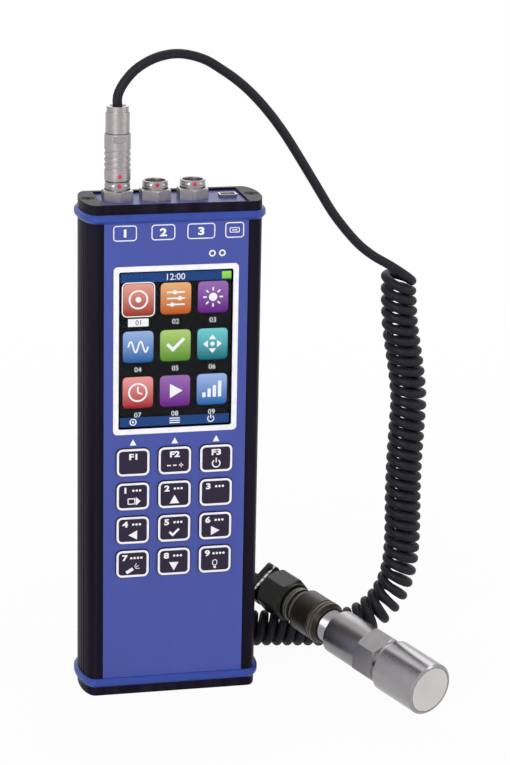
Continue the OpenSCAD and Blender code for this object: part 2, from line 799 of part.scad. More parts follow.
module sensor_body() {
    color("#a3a0a4") at_sensor() difference() {
        union() {
            turned_hexagon(hex_af, hex_turn, [[0, hex_l0], [hex_af / 2 - clear, hex_l0],
                [hex_corner, hex_l0 + hex_bevel], [hex_corner, can_l0 - hex_bevel],
                [hex_af / 2 - clear, can_l0], [0, can_l0]]);
            rotate_extrude($fn = 64) polygon([[0, can_l0 - hex_bevel], [can_d / 2, can_l0 - hex_bevel],
                [can_d / 2, neck_l0 - can_bevel], [can_d / 2 - can_bevel, neck_l0], [0, neck_l0]]);
            translate([0, 0, neck_l0 - fit]) cylinder(d = neck_d, h = neck_l + neck_in + fit, $fn = 48);
        }
        translate([0, 0, hex_l0 - over]) cylinder(d = stud_d + 2 * fit, h = stud_l / 2 + over, $fn = 32);
        translate([0, 0, neck_l0 + neck_floor])
            cylinder(d = neck_bore, h = neck_l + neck_in - neck_floor + over, $fn = 48);
    }
}

module sensor_plug() {
    color("#2c2a26") at_sensor() {
        translate([0, 0, neck_l0 + neck_floor + clear])
            cylinder(d = neck_bore - 2 * fit, h = rib_l0 - neck_l0 - neck_floor - clear, $fn = 48);
        translate([0, 0, coupling_l0 + neck_in + clear])
            cylinder(d = neck_d, h = rib_l0 - coupling_l0 - neck_in - clear, $fn = 48);
    }
}

// The coupling nut turns on the neck, and two rings stand out of it near the front.
module coupling_nut() {
    r = coupling_d / 2;
    color("#35312a") at_sensor(coupling_l0) rotate_extrude($fn = 64) polygon(concat(
        [[neck_d / 2 + fit, 0], [r - coupling_wall / 2, 0]],
        [for (i = [1:2], k = [0:3])
            [r - (k == 0 || k == 3 ? coupling_ring : 0), i * ring_pitch + (k < 2 ? 0 : ring_w)]],
        [[r - coupling_ring, 3 * ring_pitch], [r, 3 * ring_pitch + coupling_ring],
        [r, coupling_l - can_bevel], [r - can_bevel, coupling_l], [neck_d / 2 + fit, coupling_l]]));
}

// Ribs behind the coupling nut, a flange and a six-sided body with trimmed corners
module backshell() {
    r = backshell_af / 2;
    rib_r = r * rib_d_share;
    flange_r = r * shell_flange_share;
    body_l0 = shell_l0 + shell_flange_t;
    color("#1e1d1e") at_sensor() {
        rotate_extrude($fn = 64)
            polygon([[0, rib_l0], [rib_r, rib_l0], [rib_r, rib_l0 + rib_w],
                [rib_r - rib_depth, rib_l0 + rib_w], [rib_r - rib_depth, rib_l0 + rib_w + rib_gap],
                [rib_r, rib_l0 + rib_w + rib_gap], [rib_r, shell_l0 - rib_w],
                [rib_r - rib_depth, shell_l0 - rib_w], [rib_r - rib_depth, shell_l0],
                [flange_r, shell_l0], [flange_r, body_l0 + fit], [0, body_l0 + fit]]);
        turned_hexagon(backshell_af, shell_turn, [[0, body_l0], [r - shell_corner / 2, body_l0],
            [r + shell_corner, body_l0 + shell_corner], [r + shell_corner, clamp_l0 - 2 * shell_bevel],
            [r - shell_bevel / 2, clamp_l0 - shell_bevel], [r - 2 * shell_bevel, clamp_l0], [0, clamp_l0]]);
    }
}

// Two saddle bars with the cord between them, on a short neck
module cable_clamp() {
    color("#232224") at_sensor(clamp_l0) rotate(clamp_turn) difference() {
        union() {
            cylinder(d = clamp_core_d, h = clamp_l, $fn = 32);
            translate([0, 0, (clamp_l - clamp_bar_l) / 2]) linear_extrude(clamp_bar_l)
                rounded(clamp_w, clamp_h, clamp_r);
        }
        for (side = [-1, 1]) {
            translate([side * (clamp_core_d / 2 + clamp_w / 2), 0, clamp_l / 2])
                cube([clamp_w, clamp_split, clamp_l + over], center = true);
            translate([side * clamp_screw_x, 0, clamp_l / 2]) rotate([90, 0, 0])
                cylinder(d = clamp_screw_d + 2 * fit, h = clamp_h + 2 * over, center = true, $fn = 24);
        }
    }
}

// The screws' heads seat on the saddle bar that faces the floor.
module clamp_screws() {
    for (side = [-1, 1]) color("#9a989a") at_sensor(clamp_l0 + clamp_l / 2) rotate(clamp_turn)
        translate([side * clamp_screw_x, 0, 0]) rotate([90, 0, 0]) {
            cylinder(d = clamp_screw_d, h = clamp_h + 2 * fit, center = true, $fn = 24);
            translate([0, 0, clamp_h / 2])
                cylinder(d = clamp_screw_head_d, h = clamp_screw_head_t, $fn = 24);
        }
}

// Cord

function unit(v) = v / norm(v);
function spline_point(a, b, c, d, t) = 0.5 * (2 * b + (c - a) * t
    + (2 * a - 5 * b + 4 * c - d) * t * t + (3 * b - a - 3 * c + d) * t * t * t);
function smooth_route(p, n) = let (m = len(p) - 1) concat([for (i = [0:m - 1], k = [0:n - 1])
    spline_point(p[max(i - 1, 0)], p[i], p[i + 1], p[min(i + 2, m)], k / n)], [p[m]]);
function tangents(p) = let (m = len(p) - 1)
    [for (i = [0:m]) unit(p[min(i + 1, m)] - p[max(i - 1, 0)])];
function blend(p, t) = let (i = min(floor(t), len(p) - 2)) p[i] + (p[i + 1] - p[i]) * (t - i);

// Reference directions across a path, carried along it without twist
function carried(t, first) = [for (i = 0, u = unit(first - t[0] * (first * t[0])); i < len(t);
    i = i + 1, u = i < len(t) ? unit(u - t[i] * (u * t[i])) : u) u];
function tube_points(p, t, u, r, n) = [for (i = [0:len(p) - 1], k = [0:n - 1])
    let (a = 360 * k / n) p[i] + r * (cos(a) * u[i] + sin(a) * cross(t[i], u[i]))];
function tube_faces(m, n) = concat(
    [for (i = [0:m - 2], k = [0:n - 1]) let (a = i * n + k, b = i * n + (k + 1) % n) [a, b, a + n]],
    [for (i = [0:m - 2], k = [0:n - 1]) let (a = i * n + k, b = i * n + (k + 1) % n) [b, b + n, a + n]],
    [for (k = [1:n - 2]) [0, k + 1, k]],
    [for (k = [1:n - 2]) let (e = (m - 1) * n) [e, e + k, e + k + 1]]);

module tube(p, t, side, n) {
    u = carried(t, side);
    polyhedron(tube_points(p, t, u, cord_d / 2, n), tube_faces(len(p), n));
}

// The curls lean most at the top, where the lead pulls them over.
function lean(phase) = lean_rest + lean_top * exp(-phase / 360 / lean_turns);
function curl_pitch(phase) = (cord_d + curl_gap) / cos(lean(phase));
axis_points = smooth_route(COIL_ROUTE, route_steps);
axis_tangents = tangents(axis_points);
function turning(i) = let (m = len(axis_points) - 1, a = max(i - route_steps / 2, 0),
    b = min(i + route_steps / 2, m), v = axis_tangents[a], w = axis_tangents[b])
    norm(v - w) / (norm(axis_points[b] - axis_points[a]));
axis_phases = [for (i = 0, a = 0; i < len(axis_points); i = i + 1, a = i < len(axis_points)
    ? a + 360 * norm(axis_points[i] - axis_points[i - 1]) * (1 - curl_r * turning(i)) / curl_pitch(a)
    : a) a];
phase_table = [for (i = [0:len(axis_points) - 1]) [axis_phases[i], i]];
curl_steps = floor(axis_phases[len(axis_phases) - 1] / 360 * curl_rings);
function curl_point(i) = let (phase = 360 * i / curl_rings, at = lookup(phase, phase_table),
    t = unit(blend(axis_tangents, at)), n = unit(cross(bend_side, t)), b = cross(t, n),
    left = curl_steps - i, r = curl_r * sin(90 * min(1, left / curl_rings / exit_turns)),
    a = phase + start_phase)
    blend(axis_points, at) + r * (cos(a) * (n * cos(lean(phase)) - t * sin(lean(phase))) - sin(a) * b);
curl_points = [for (i = [0:curl_steps]) curl_point(i)];
coil_end = curl_points[curl_steps];
coil_way = axis_tangents[len(axis_tangents) - 1];
coil_path = concat(COIL_ENTRY, curl_points, [coil_end + coil_way * cord_d,
    coil_end + coil_way * cord_d * (1 + exit_l)]);

module cord_coil() {
    gaps = [for (i = [0:len(coil_path) - 1 - gap_skip], k = [gap_skip:gap_reach])
        if (i + k < len(coil_path)) norm(coil_path[i] - coil_path[i + k]) - cord_d];
    echo(least_gap = min(gaps), curls = curl_steps / curl_rings);
    color("#1d1b20") tube(coil_path, tangents(coil_path), [0, 1, 0], curl_sides);
}

module cord_lead() {
    color("#1d1b20") tube(LEAD_ROUTE, tangents(LEAD_ROUTE), [0, 1, 0], lead_sides);
}

sensor_way = [cos(sensor_pitch) * cos(sensor_heading), cos(sensor_pitch) * sin(sensor_heading),
    sin(sensor_pitch)];
clamp_end = [sensor_x, sensor_y, sensor_z] + sensor_way * cord_l0;
tail_path = concat([coil_path[len(coil_path) - 1], coil_path[len(coil_path) - 1] + coil_way * cord_d],
    TAIL_ROUTE, [clamp_end + sensor_way * cord_d, clamp_end]);

module cord_tail() {
    color("#1d1b20") tube(tail_path, tangents(tail_path), [0, 0, 1], lead_sides);
}

housing_tube();
front_panel();
top_cap();
bottom_cap();
seal(tube_z1);  // top_seal
seal(cap_t);  // bottom_seal
connector_plate();
top_cap_screws();
bottom_cap_screws();
screen_lens();
screen_frame();
display_module();
status_lights();
key_domes();
keypad_board();
main_board();
battery_cells();
battery_tray();
for (k = KEYS) key(k[1], k[2]);
socket_shell(socket_x[0]);  // socket_1
socket_shell(socket_x[1]);  // socket_2
socket_shell(socket_x[2]);  // socket_3
socket_nuts();
socket_inserts();
usb_socket();
plug_body();
plug_sleeve();
plug_collet_nut();
plug_insert();
cord_lead();
cord_coil();
cord_tail();
magnet();
magnet_face();
sensor_stud();
sensor_body();
sensor_plug();
coupling_nut();
backshell();
cable_clamp();
clamp_screws();
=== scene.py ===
"""Looks of a handheld vibration meter: materials, print, screen, threads and the curly cord."""
import json
import math

import bmesh
import bpy
from mathutils import Matrix, Vector


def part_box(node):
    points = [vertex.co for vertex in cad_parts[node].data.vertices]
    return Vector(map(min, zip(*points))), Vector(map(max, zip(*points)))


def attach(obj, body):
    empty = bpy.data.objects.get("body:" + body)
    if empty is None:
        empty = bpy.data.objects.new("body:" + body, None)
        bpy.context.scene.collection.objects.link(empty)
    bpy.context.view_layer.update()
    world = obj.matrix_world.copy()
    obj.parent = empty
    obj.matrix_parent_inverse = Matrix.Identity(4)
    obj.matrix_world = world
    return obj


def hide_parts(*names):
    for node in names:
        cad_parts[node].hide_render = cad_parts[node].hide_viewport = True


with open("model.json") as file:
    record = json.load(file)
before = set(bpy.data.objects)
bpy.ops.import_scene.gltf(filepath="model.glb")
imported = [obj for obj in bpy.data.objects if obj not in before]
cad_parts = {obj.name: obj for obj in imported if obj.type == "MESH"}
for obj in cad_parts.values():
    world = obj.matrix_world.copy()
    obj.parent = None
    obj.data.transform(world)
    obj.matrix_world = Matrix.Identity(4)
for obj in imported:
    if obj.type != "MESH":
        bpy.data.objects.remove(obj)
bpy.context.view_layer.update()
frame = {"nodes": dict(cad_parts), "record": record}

# Sizes are in millimetres unless a comment says metres. MM is a millimetre in metres, and METER
# is the body that all but the keys, the plug's sleeve and the coupling nut ride on.
MM = 0.001
METER = "meter"


def low(node):
    """The lowest corner of a CAD node's box."""
    return Vector(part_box(node)[0]) / MM


def high(node):
    """The highest corner of a CAD node's box."""
    return Vector(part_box(node)[1]) / MM


def middle(node):
    return (low(node) + high(node)) / 2


def mount(name):
    return next(m for m in frame["record"]["mounts"] if m["name"] == name)


# Camera at the photograph's viewing angle, in metres

CAMERA_PLACE = (-0.23743, -1.16849, 0.48712)
CAMERA_LOOK = (0.22234, 0.93497, -0.27640)
CAMERA_UP = (0.04558, 0.27322, 0.96087)
CAMERA_CLIP = (0.05, 20)
CAMERA_LENS = 128.715
CAMERA_SENSOR = 36


def make_camera():
    data = bpy.data.cameras.new("camera")
    data.sensor_fit = "VERTICAL"
    data.sensor_height = CAMERA_SENSOR
    data.lens = CAMERA_LENS
    data.clip_start, data.clip_end = CAMERA_CLIP
    camera = bpy.data.objects.new("camera", data)
    look, up = Vector(CAMERA_LOOK).normalized(), Vector(CAMERA_UP)
    right = look.cross(up).normalized()
    axes = Matrix((right, right.cross(look), -look)).transposed()
    camera.matrix_world = Matrix.Translation(CAMERA_PLACE) @ axes.to_4x4()
    bpy.context.scene.collection.objects.link(camera)
    bpy.context.scene.camera = camera


make_camera()


# Node trees

NOISE_SPAN = (0.3, 0.7)
NOISE_ROUGHNESS = 0.55
BEVEL_SAMPLES = 6
EDGE_SPAN = (0.99, 0.8)
WEAR_SIZE, WEAR_SPAN = 0.9, (0.35, 0.65)


class Tree:
    """A material's nodes, with short calls for what most of the materials share."""

    def __init__(self, name):
        self.material = bpy.data.materials.new(name)
        self.material.use_nodes = True
        self.nodes = self.material.node_tree.nodes
        self.links = self.material.node_tree.links
        self.shader = self.nodes["Principled BSDF"]
        self.place = self.nodes.new("ShaderNodeTexCoord").outputs["Object"]

    def link(self, source, socket):
        self.links.new(source, socket)

    def feed(self, value, socket):
        """Link a node's output to the socket, or set the socket to a number or a colour."""
        if hasattr(value, "is_output"):
            self.link(value, socket)
        else:
            socket.default_value = (*value, 1) if hasattr(value, "__len__") else value

    def set(self, **values):
        """Feed the shader's inputs, named with underscores for their spaces."""
        for name, value in values.items():
            self.feed(value, self.shader.inputs[name.replace("_", " ")])

    def noise(self, size, stretch=(1, 1, 1), turn=(0, 0, 0), detail=3):
        """Noise with features of about that size, stretched along the turned axes."""
        mapping = self.nodes.new("ShaderNodeMapping")
        mapping.vector_type = "TEXTURE"
        mapping.inputs["Rotation"].default_value = turn
        mapping.inputs["Scale"].default_value = [size * MM * s for s in stretch]
        self.link(self.place, mapping.inputs["Vector"])
        noise = self.nodes.new("ShaderNodeTexNoise")
        noise.inputs["Scale"].default_value = 1
        noise.inputs["Detail"].default_value = detail
        noise.inputs["Roughness"].default_value = NOISE_ROUGHNESS
        self.link(mapping.outputs["Vector"], noise.inputs["Vector"])
        return noise.outputs["Fac"]

    def remap(self, value, span, lowest, highest):
        """A number from lowest to highest, while the value goes through the span."""
        node = self.nodes.new("ShaderNodeMapRange")
        for name, number in zip(("From Min", "From Max", "To Min", "To Max"),
                                (*span, lowest, highest)):
            node.inputs[name].default_value = number
        self.link(value, node.inputs["Value"])
        return node.outputs["Result"]

    def vary(self, noise, lowest, highest):
        """A number that follows a noise from lowest to highest."""
        return self.remap(noise, NOISE_SPAN, lowest, highest)

    def math(self, operation, first, second):
        node = self.nodes.new("ShaderNodeMath")
        node.operation = operation
        self.feed(first, node.inputs[0])
        self.feed(second, node.inputs[1])
        return node.outputs["Value"]

    def blend(self, factor, first, second):
        """A colour between two colours, each given as a tuple or as a node's output."""
        node = self.nodes.new("ShaderNodeMix")
        node.data_type = "RGBA"
        self.link(factor, node.inputs["Factor"])
        self.feed(first, node.inputs[6])
        self.feed(second, node.inputs[7])
        return node.outputs[2]

    def tint(self, noise, colour, darkest, lightest, span=NOISE_SPAN):
        """The colour, which follows a noise from darkest to lightest."""
        return self.blend(self.remap(noise, span, 0, 1),
                          shade(darkest, colour), shade(lightest, colour))

    def round_edges(self, radius):
        node = self.nodes.new("ShaderNodeBevel")
        node.samples = BEVEL_SAMPLES
        node.inputs["Radius"].default_value = radius * MM
        return node.outputs["Normal"]

    def bump(self, height, depth, normal=None):
        node = self.nodes.new("ShaderNodeBump")
        node.inputs["Strength"].default_value = 1
        node.inputs["Distance"].default_value = depth * MM
        self.link(height, node.inputs["Height"])
        if normal:
            self.link(normal, node.inputs["Normal"])
        return node.outputs["Normal"]

    def edge_wear(self, radius):
        """1 on convex edges and 0 on flat faces, broken up by noise."""
        geometry = self.nodes.new("ShaderNodeNewGeometry")
        dot = self.nodes.new("ShaderNodeVectorMath")
        dot.operation = "DOT_PRODUCT"
        self.link(self.round_edges(radius), dot.inputs[0])
        self.link(geometry.outputs["Normal"], dot.inputs[1])
        edge = self.remap(dot.outputs["Value"], EDGE_SPAN, 0, 1)
        return self.math("MULTIPLY", edge, self.remap(self.noise(WEAR_SIZE), WEAR_SPAN, 0, 1))


def shade(amount, colour):
    return tuple(min(1, c * amount) for c in colour)


# Materials. Colours are linear.

def anodised(name, colour, roughness=0.3, specular=0.012, reflection_band=0.24):
    """Drawn and anodised aluminium with fine lines along the extrusion, and broader painted
    reflection bands: lighter and darker streaks in the colour that stand in for reflected light.
    """
    t = Tree(name)
    lines = t.noise(0.35, stretch=(1, 1, 90), detail=2)
    painted_reflection_bands = t.noise(5, stretch=(1, 1, 60), detail=1)
    # The lighter and darker streaks along the extrusion are painted reflections, not the metal's own
    # tone.
    t.set(Base_Color=t.tint(painted_reflection_bands, colour, 1 - reflection_band, 1 + reflection_band, span=(0.35, 0.65)),
          Specular_IOR_Level=specular,
          Roughness=t.vary(lines, roughness - 0.05, roughness + 0.07),
          Normal=t.bump(lines, 0.004, t.round_edges(0.25)))
    return t.material


def satin_film(name, colour):
    """Printed film with a faint orange peel."""
    t = Tree(name)
    t.set(Base_Color=t.tint(t.noise(22, stretch=(1, 1, 2.5)), colour, 0.95, 1.06),
          Roughness=t.vary(t.noise(3), 0.36, 0.46),
          Normal=t.bump(t.noise(0.7), 0.004))
    return t.material


def soft_rubber(name, colour):
    t = Tree(name)
    t.set(Base_Color=t.tint(t.noise(6), colour, 0.9, 1.1),
          Roughness=t.vary(t.noise(1.2), 0.39, 0.53),
          Normal=t.bump(t.noise(0.25), 0.01, t.round_edges(0.3)))
    return t.material


def moulded(name, colour, roughness, depth=0.008, specular=0.5):
    """Moulded plastic with a fine spark-eroded texture."""
    t = Tree(name)
    t.set(Base_Color=t.tint(t.noise(4), colour, 0.93, 1.07),
          Roughness=t.vary(t.noise(0.8), roughness - 0.05, roughness + 0.06),
          Specular_IOR_Level=specular,
          Normal=t.bump(t.noise(0.16), depth, t.round_edges(0.2)))
    return t.material


def nickel(name, colour, roughness):
    """Satin nickel plate, turned round the vertical axis."""
    t = Tree(name)
    turning = t.noise(0.18, stretch=(60, 60, 1), detail=2)
    tone = t.tint(t.noise(2.5), colour, 0.9, 1.1)
    t.set(Base_Color=t.blend(t.edge_wear(0.25), tone, shade(1.2, colour)),
          Metallic=1,
          Roughness=t.vary(turning, roughness - 0.02, roughness + 0.03),
          Normal=t.bump(turning, 0.0003, t.round_edges(0.18)))
    return t.material


# The middle of the magnet's face in metres, and the sensor's axis from there to the cable clamp
SENSOR_PLACE = Vector(mount("magnet_contact")["pos_m"])
SENSOR_WAY = -Vector(mount("magnet_contact")["axis"])
SENSOR_TURN = SENSOR_WAY.to_track_quat("Z", "Y").to_euler()


def turned_steel(name, colour, roughness, line=0.22):
    """Steel turned round the sensor's axis: fine rings, and a few deeper ones."""
    t = Tree(name)
    rings = t.noise(line, stretch=(300, 300, 1), turn=SENSOR_TURN)
    tone = t.tint(t.noise(5, stretch=(4, 4, 1), turn=SENSOR_TURN), colour, 0.93, 1.05)
    t.set(Base_Color=t.blend(t.edge_wear(0.3), tone, shade(1.35, colour)),
          Metallic=1,
          Roughness=t.vary(rings, roughness - 0.02, roughness + 0.03),
          Normal=t.bump(rings, 0.0003, t.round_edges(0.25)))
    return t.material


def polished(name, colour):
    """Smoothly ground steel, a little cloudy."""
    t = Tree(name)
    t.set(Base_Color=t.tint(t.noise(6), colour, 0.94, 1.05),
          Metallic=1,
          Roughness=t.vary(t.noise(9), 0.22, 0.26))
    return t.material


def plated(name, colour, roughness, wear):
    """Dark plating that is rubbed through to the metal on its edges."""
    t = Tree(name)
    t.set(Base_Color=t.blend(t.edge_wear(0.35), t.tint(t.noise(3), colour, 0.8, 1.25), wear),
          Metallic=0.15,
          Specular_IOR_Level=0.25,
          Roughness=t.vary(t.noise(0.6), roughness - 0.06, roughness + 0.1),
          Normal=t.bump(t.noise(0.2), 0.003, t.round_edges(0.25)))
    return t.material


def cord_jacket(name, colour):
    """Matt black cable jacket with a soft bloom."""
    t = Tree(name)
    t.set(Base_Color=t.tint(t.noise(2.2), colour, 1, 1.6, span=(0.35, 0.75)),
          Roughness=t.vary(t.noise(0.5), 0.46, 0.6),
          Specular_IOR_Level=0.16,
          Normal=t.bump(t.noise(0.22), 0.012))
    return t.material


def clear_glass(name):
    """A thin cover, whose low index keeps the display behind it in its place."""
    t = Tree(name)
    t.set(Base_Color=t.blend(t.noise(30), (0.97, 0.98, 1), (1, 1, 1)),
          Roughness=t.vary(t.noise(6), 0, 0.006),
          Transmission_Weight=1,
          IOR=1.12)
    return t.material


def circuit_board(name):
    """Green solder mask over a grid of traces."""
    t = Tree(name)
    across = t.noise(1.4, stretch=(1, 1, 14), detail=0)
    along = t.noise(1.4, stretch=(14, 1, 1), detail=0)
    traces = t.remap(t.math("MAXIMUM", across, along), (0.55, 0.6), 0, 1)
    t.set(Base_Color=t.blend(traces, (0.015, 0.11, 0.04), (0.04, 0.22, 0.09)),
          Roughness=0.35,
          Normal=t.bump(traces, 0.03))
    return t.material


def lit(name, top, bottom):
    """A lit patch of the screen, shaded from its top to its bottom."""
    t = Tree(name)
    split = t.nodes.new("ShaderNodeSeparateXYZ")
    t.link(t.nodes["Texture Coordinate"].outputs["Generated"], split.inputs["Vector"])
    t.set(Base_Color=(0.002, 0.002, 0.002),
          Emission_Color=t.blend(split.outputs["Z"], bottom, top),
          Emission_Strength=1,
          Roughness=0.6,
          Specular_IOR_Level=0.02)
    return t.material


# Each material's maker, and what it is told after the name
LOOKS = {
    "anodised_black": (anodised, (0.0125, 0.0100, 0.0185)),
    "plate_violet": (anodised, (0.058, 0.064, 0.26), 0.36, 0.06, 0.08),
    "panel_blue": (satin_film, (0.042, 0.064, 0.320)),
    "seal_blue": (soft_rubber, (0.014, 0.046, 0.300)),
    "frame_white": (moulded, (0.86, 0.85, 0.90), 0.4, 0.003),
    "key_dark": (moulded, (0.024, 0.016, 0.038), 0.42, 0.004, 0.16),
    "lens": (clear_glass,),
    "display": (moulded, (0.012, 0.012, 0.014), 0.5, 0.002),
    "light_pipe": (moulded, (0.16, 0.15, 0.18), 0.25, 0.002),
    "nickel": (nickel, (0.35, 0.325, 0.33), 0.36),
    "usb_shell": (nickel, (0.42, 0.40, 0.39), 0.26),
    "insulator": (moulded, (0.07, 0.065, 0.06), 0.5),
    "screw_black": (anodised, (0.004, 0.004, 0.005), 0.4, 0.01, 0.1),
    "magnet_steel": (polished, (0.31, 0.30, 0.31)),
    "magnet_plate": (turned_steel, (0.60, 0.585, 0.57), 0.45, 0.5),
    "sensor_steel": (turned_steel, (0.235, 0.225, 0.23), 0.3),
    "connector_olive": (plated, (0.012, 0.0092, 0.0050), 0.34, (0.3, 0.27, 0.2)),
    "connector_black": (plated, (0.0055, 0.0050, 0.0050), 0.36, (0.22, 0.2, 0.17)),
    "clamp_screw": (turned_steel, (0.5, 0.5, 0.52), 0.22),
    "cord_black": (cord_jacket, (0.0095, 0.0085, 0.0130)),
    "silicone": (soft_rubber, (0.3, 0.3, 0.33)),
    "board_green": (circuit_board,),
    "cell_wrap": (moulded, (0.06, 0.2, 0.07), 0.3, 0.002),
    "tray_black": (moulded, (0.02, 0.02, 0.024), 0.5),
    "worn_metal": (plated, (0.30, 0.27, 0.23), 0.3, (0.4, 0.37, 0.32)),
    "zinc": (nickel, (0.55, 0.54, 0.53), 0.28),
    "dot_red": (moulded, (0.60, 0.022, 0.075), 0.35, 0.002),
    "light_centre": (moulded, (0.1, 0.095, 0.11), 0.2, 0.002),
}
MATERIALS = {name: make(name, *details) for name, (make, *details) in LOOKS.items()}


def dress_nodes():
    """Every CAD node takes the material of its slot in the record."""
    for row in frame["record"]["subparts"]:
        node = frame["nodes"][row["node"]]
        node.data.materials.clear()
        node.data.materials.append(MATERIALS[row["material_slot"]])


dress_nodes()


# Meshes

MERGE = 1e-7


def smooth_by_angle(mesh, degrees):
    mesh.shade_smooth()
    mesh.set_sharp_from_angle(angle=math.radians(degrees))


def add_piece(name, mesh, body, material):
    """A mesh that rides on a body, with a material or the name of one."""
    piece = bpy.data.objects.new(name, mesh)
    mesh.materials.clear()
    mesh.materials.append(MATERIALS.get(material, material))
    bpy.context.scene.collection.objects.link(piece)
    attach(piece, body)
    return piece


def mesh_from(build, smooth_angle=None):
    """A mesh whose vertices and faces build(bm) adds, with its normals outwards."""
    bm = bmesh.new()
    build(bm)
    bmesh.ops.remove_doubles(bm, verts=bm.verts, dist=MERGE)
    bmesh.ops.recalc_face_normals(bm, faces=bm.faces)
    mesh = bpy.data.meshes.new("mesh")
    bm.to_mesh(mesh)
    bm.free()
    if smooth_angle:
        smooth_by_angle(mesh, smooth_angle)
    return mesh


def loft(bm, rings, closed=False):
    """Faces between rings with the same count of points, in metres; open ends are capped."""
    rows = [[bm.verts.new(p) for p in ring] for ring in rings]
    count = len(rows[0])
    pairs = list(zip(rows, rows[1:])) + ([(rows[-1], rows[0])] if closed else [])
    for a, b in pairs:
        for k in range(count):
            bm.faces.new((a[k], a[(k + 1) % count], b[(k + 1) % count], b[k]))
    if not closed:
        bm.faces.new(rows[0])
        bm.faces.new(rows[-1][::-1])


# Cord, in metres. The lead's points are those of part.scad. The coil is a helix whose curls lean most
# at the top, as there, but it ends with its last whole curl. The tail leaves it along the curl's own
# direction, so the tail's first points aren't those of part.scad.

def metres(points):
    return [Vector(p) * MM for p in points]


CORD_D = 4.3 * MM
CURL_D = 17.5 * MM
CURL_GAP = 0.65 * MM
CURL_R = (CURL_D - CORD_D) / 2
COLLET_BOWL = 1.2
LEAD_X = middle("plug_sleeve").x
LEAD_Z = high("plug_collet_nut").z - COLLET_BOWL
LEAD_STRAIGHT = 5.5
LEAD_ROUTE = metres([
    (LEAD_X, 0, LEAD_Z), (LEAD_X, 0, LEAD_Z + LEAD_STRAIGHT),
    (-21, 0.5, 281), (-16, 1, 286.5), (-9.5, 1.5, 290.5), (-3, 2.5, 292.5), (3.5, 3.5, 293),
    (10, 4, 292), (17, 5, 289.5), (23.5, 5.5, 285.5), (30, 6.5, 281), (36, 7, 276),
    (42, 8, 270), (48, 8.5, 263), (54, 9, 255), (60, 10, 246), (66, 10.5, 236.5),
    (72, 11.5, 227), (78, 12, 217.5), (85, 12.5, 208.5), (92, 13.5, 201), (99, 14.5, 195.5)])
COIL_ENTRY = metres([(104, 15, 192.5), (107.5, 15.2, 190.4), (111.5, 15.2, 187.8),
                     (115.5, 15.6, 185), (118.6, 17.8, 182.4)])
COIL_ROUTE = metres([
    (113.4, 22, 184), (114, 22, 172), (115, 22, 160), (117, 22, 148), (119, 22, 136),
    (120.3, 22, 124), (120, 22, 112), (119.5, 22, 100), (119.2, 22, 88), (119.2, 22, 76),
    (119.5, 22, 64), (119.5, 22, 52), (118.5, 22, 40), (115, 22.5, 28), (108, 23.5, 18),
    (97.5, 24.5, 11.2), (86, 26, 9), (74, 28, 9), (62, 30.2, 9), (50, 32.4, 9), (38, 34.6, 9),
    (26, 36.8, 9), (18, 38.2, 9)])
TAIL_ROUTE = metres([
    (8, 50.2, 3.2), (2.4, 52, 4.4), (-2, 56.2, 6), (-3.6, 62.4, 7.6), (3, 72, 9.5), (13, 77, 12),
    (24, 77, 16), (34, 72.5, 20.5), (42, 65, 25), (47.5, 56.5, 28.5)])
CORD_IN_CLAMP = 121.6 * MM
BEND_SIDE = Vector((0.18, 0.98, 0))
# Points to a curl, steps between the points of the coil's axis and of the whole cord, and its sides
CURL_RINGS = 8
ROUTE_STEPS = 8
CORD_STEPS = 3
CORD_SIDES = 14
# Every curl leans by LEAN_REST degrees, the first by LEAN_TOP more, which fades over LEAN_TURNS
LEAN_REST, LEAN_TOP, LEAN_TURNS = 7, 18, 3
START_PHASE = 180
EXIT_BEND = 9.5 * MM
EXIT_STEPS = 4


def spline_point(a, b, c, d, t):
    """A point of the Catmull-Rom curve from b to c."""
    return 0.5 * (2 * b + (c - a) * t + (2 * a - 5 * b + 4 * c - d) * t * t
                  + (3 * b - a - 3 * c + d) * t ** 3)


def smooth_route(points, steps):
    last = len(points) - 1
    route = [spline_point(points[max(i - 1, 0)], points[i], points[i + 1],
                          points[min(i + 2, last)], k / steps)
             for i in range(last) for k in range(steps)]
    return route + [points[-1]]


def tangents(points):
    last = len(points) - 1
    return [(points[min(i + 1, last)] - points[max(i - 1, 0)]).normalized()
            for i in range(last + 1)]


def lean(phase):
    """How far a curl leans, in radians, at a phase in degrees."""
    return math.radians(LEAN_REST + LEAN_TOP * math.exp(-phase / 360 / LEAN_TURNS))


def curl_points():
    """The coil's centreline, CURL_RINGS points to a curl, and its two directions at the end."""
    axis = smooth_route(COIL_ROUTE, ROUTE_STEPS)
    ways = tangents(axis)
    last = len(axis) - 1

    def turning(i):
        a, b = max(i - ROUTE_STEPS // 2, 0), min(i + ROUTE_STEPS // 2, last)
        return (ways[a] - ways[b]).length / (axis[b] - axis[a]).length

    phases = [0.0]
    for i in range(1, last + 1):
        run = (axis[i] - axis[i - 1]).length * (1 - CURL_R * turning(i))
        phases.append(phases[-1] + 360 * run * math.cos(lean(phases[-1])) / (CORD_D + CURL_GAP))
    count = int(phases[-1] / 360) * CURL_RINGS
    points, seat = [], 0
    for i in range(count + 1):
        phase = 360 * i / CURL_RINGS
        while seat < last - 1 and phases[seat + 1] < phase:
            seat += 1
        share = (phase - phases[seat]) / (phases[seat + 1] - phases[seat])
        centre = axis[seat].lerp(axis[seat + 1], share)
        way = ways[seat].lerp(ways[seat + 1], share).normalized()
        side = BEND_SIDE.cross(way).normalized()
        across = way.cross(side)
        a, tilt = math.radians(phase + START_PHASE), lean(phase)
        points.append(centre + CURL_R * (
            math.cos(a) * (side * math.cos(tilt) - way * math.sin(tilt)) - math.sin(a) * across))
    return points, way, across


def tube(bm, path, radius, sides):
    """A tube along the path, whose sides don't twist."""
    side = Vector((0, 1, 0))
    rings = []
    for point, way in zip(path, tangents(path)):
        side = (side - way * side.dot(way)).normalized()
        across = way.cross(side)
        rings.append([point + radius * (math.cos(2 * math.pi * k / sides) * side
                                        + math.sin(2 * math.pi * k / sides) * across)
                      for k in range(sides)])
    loft(bm, rings)


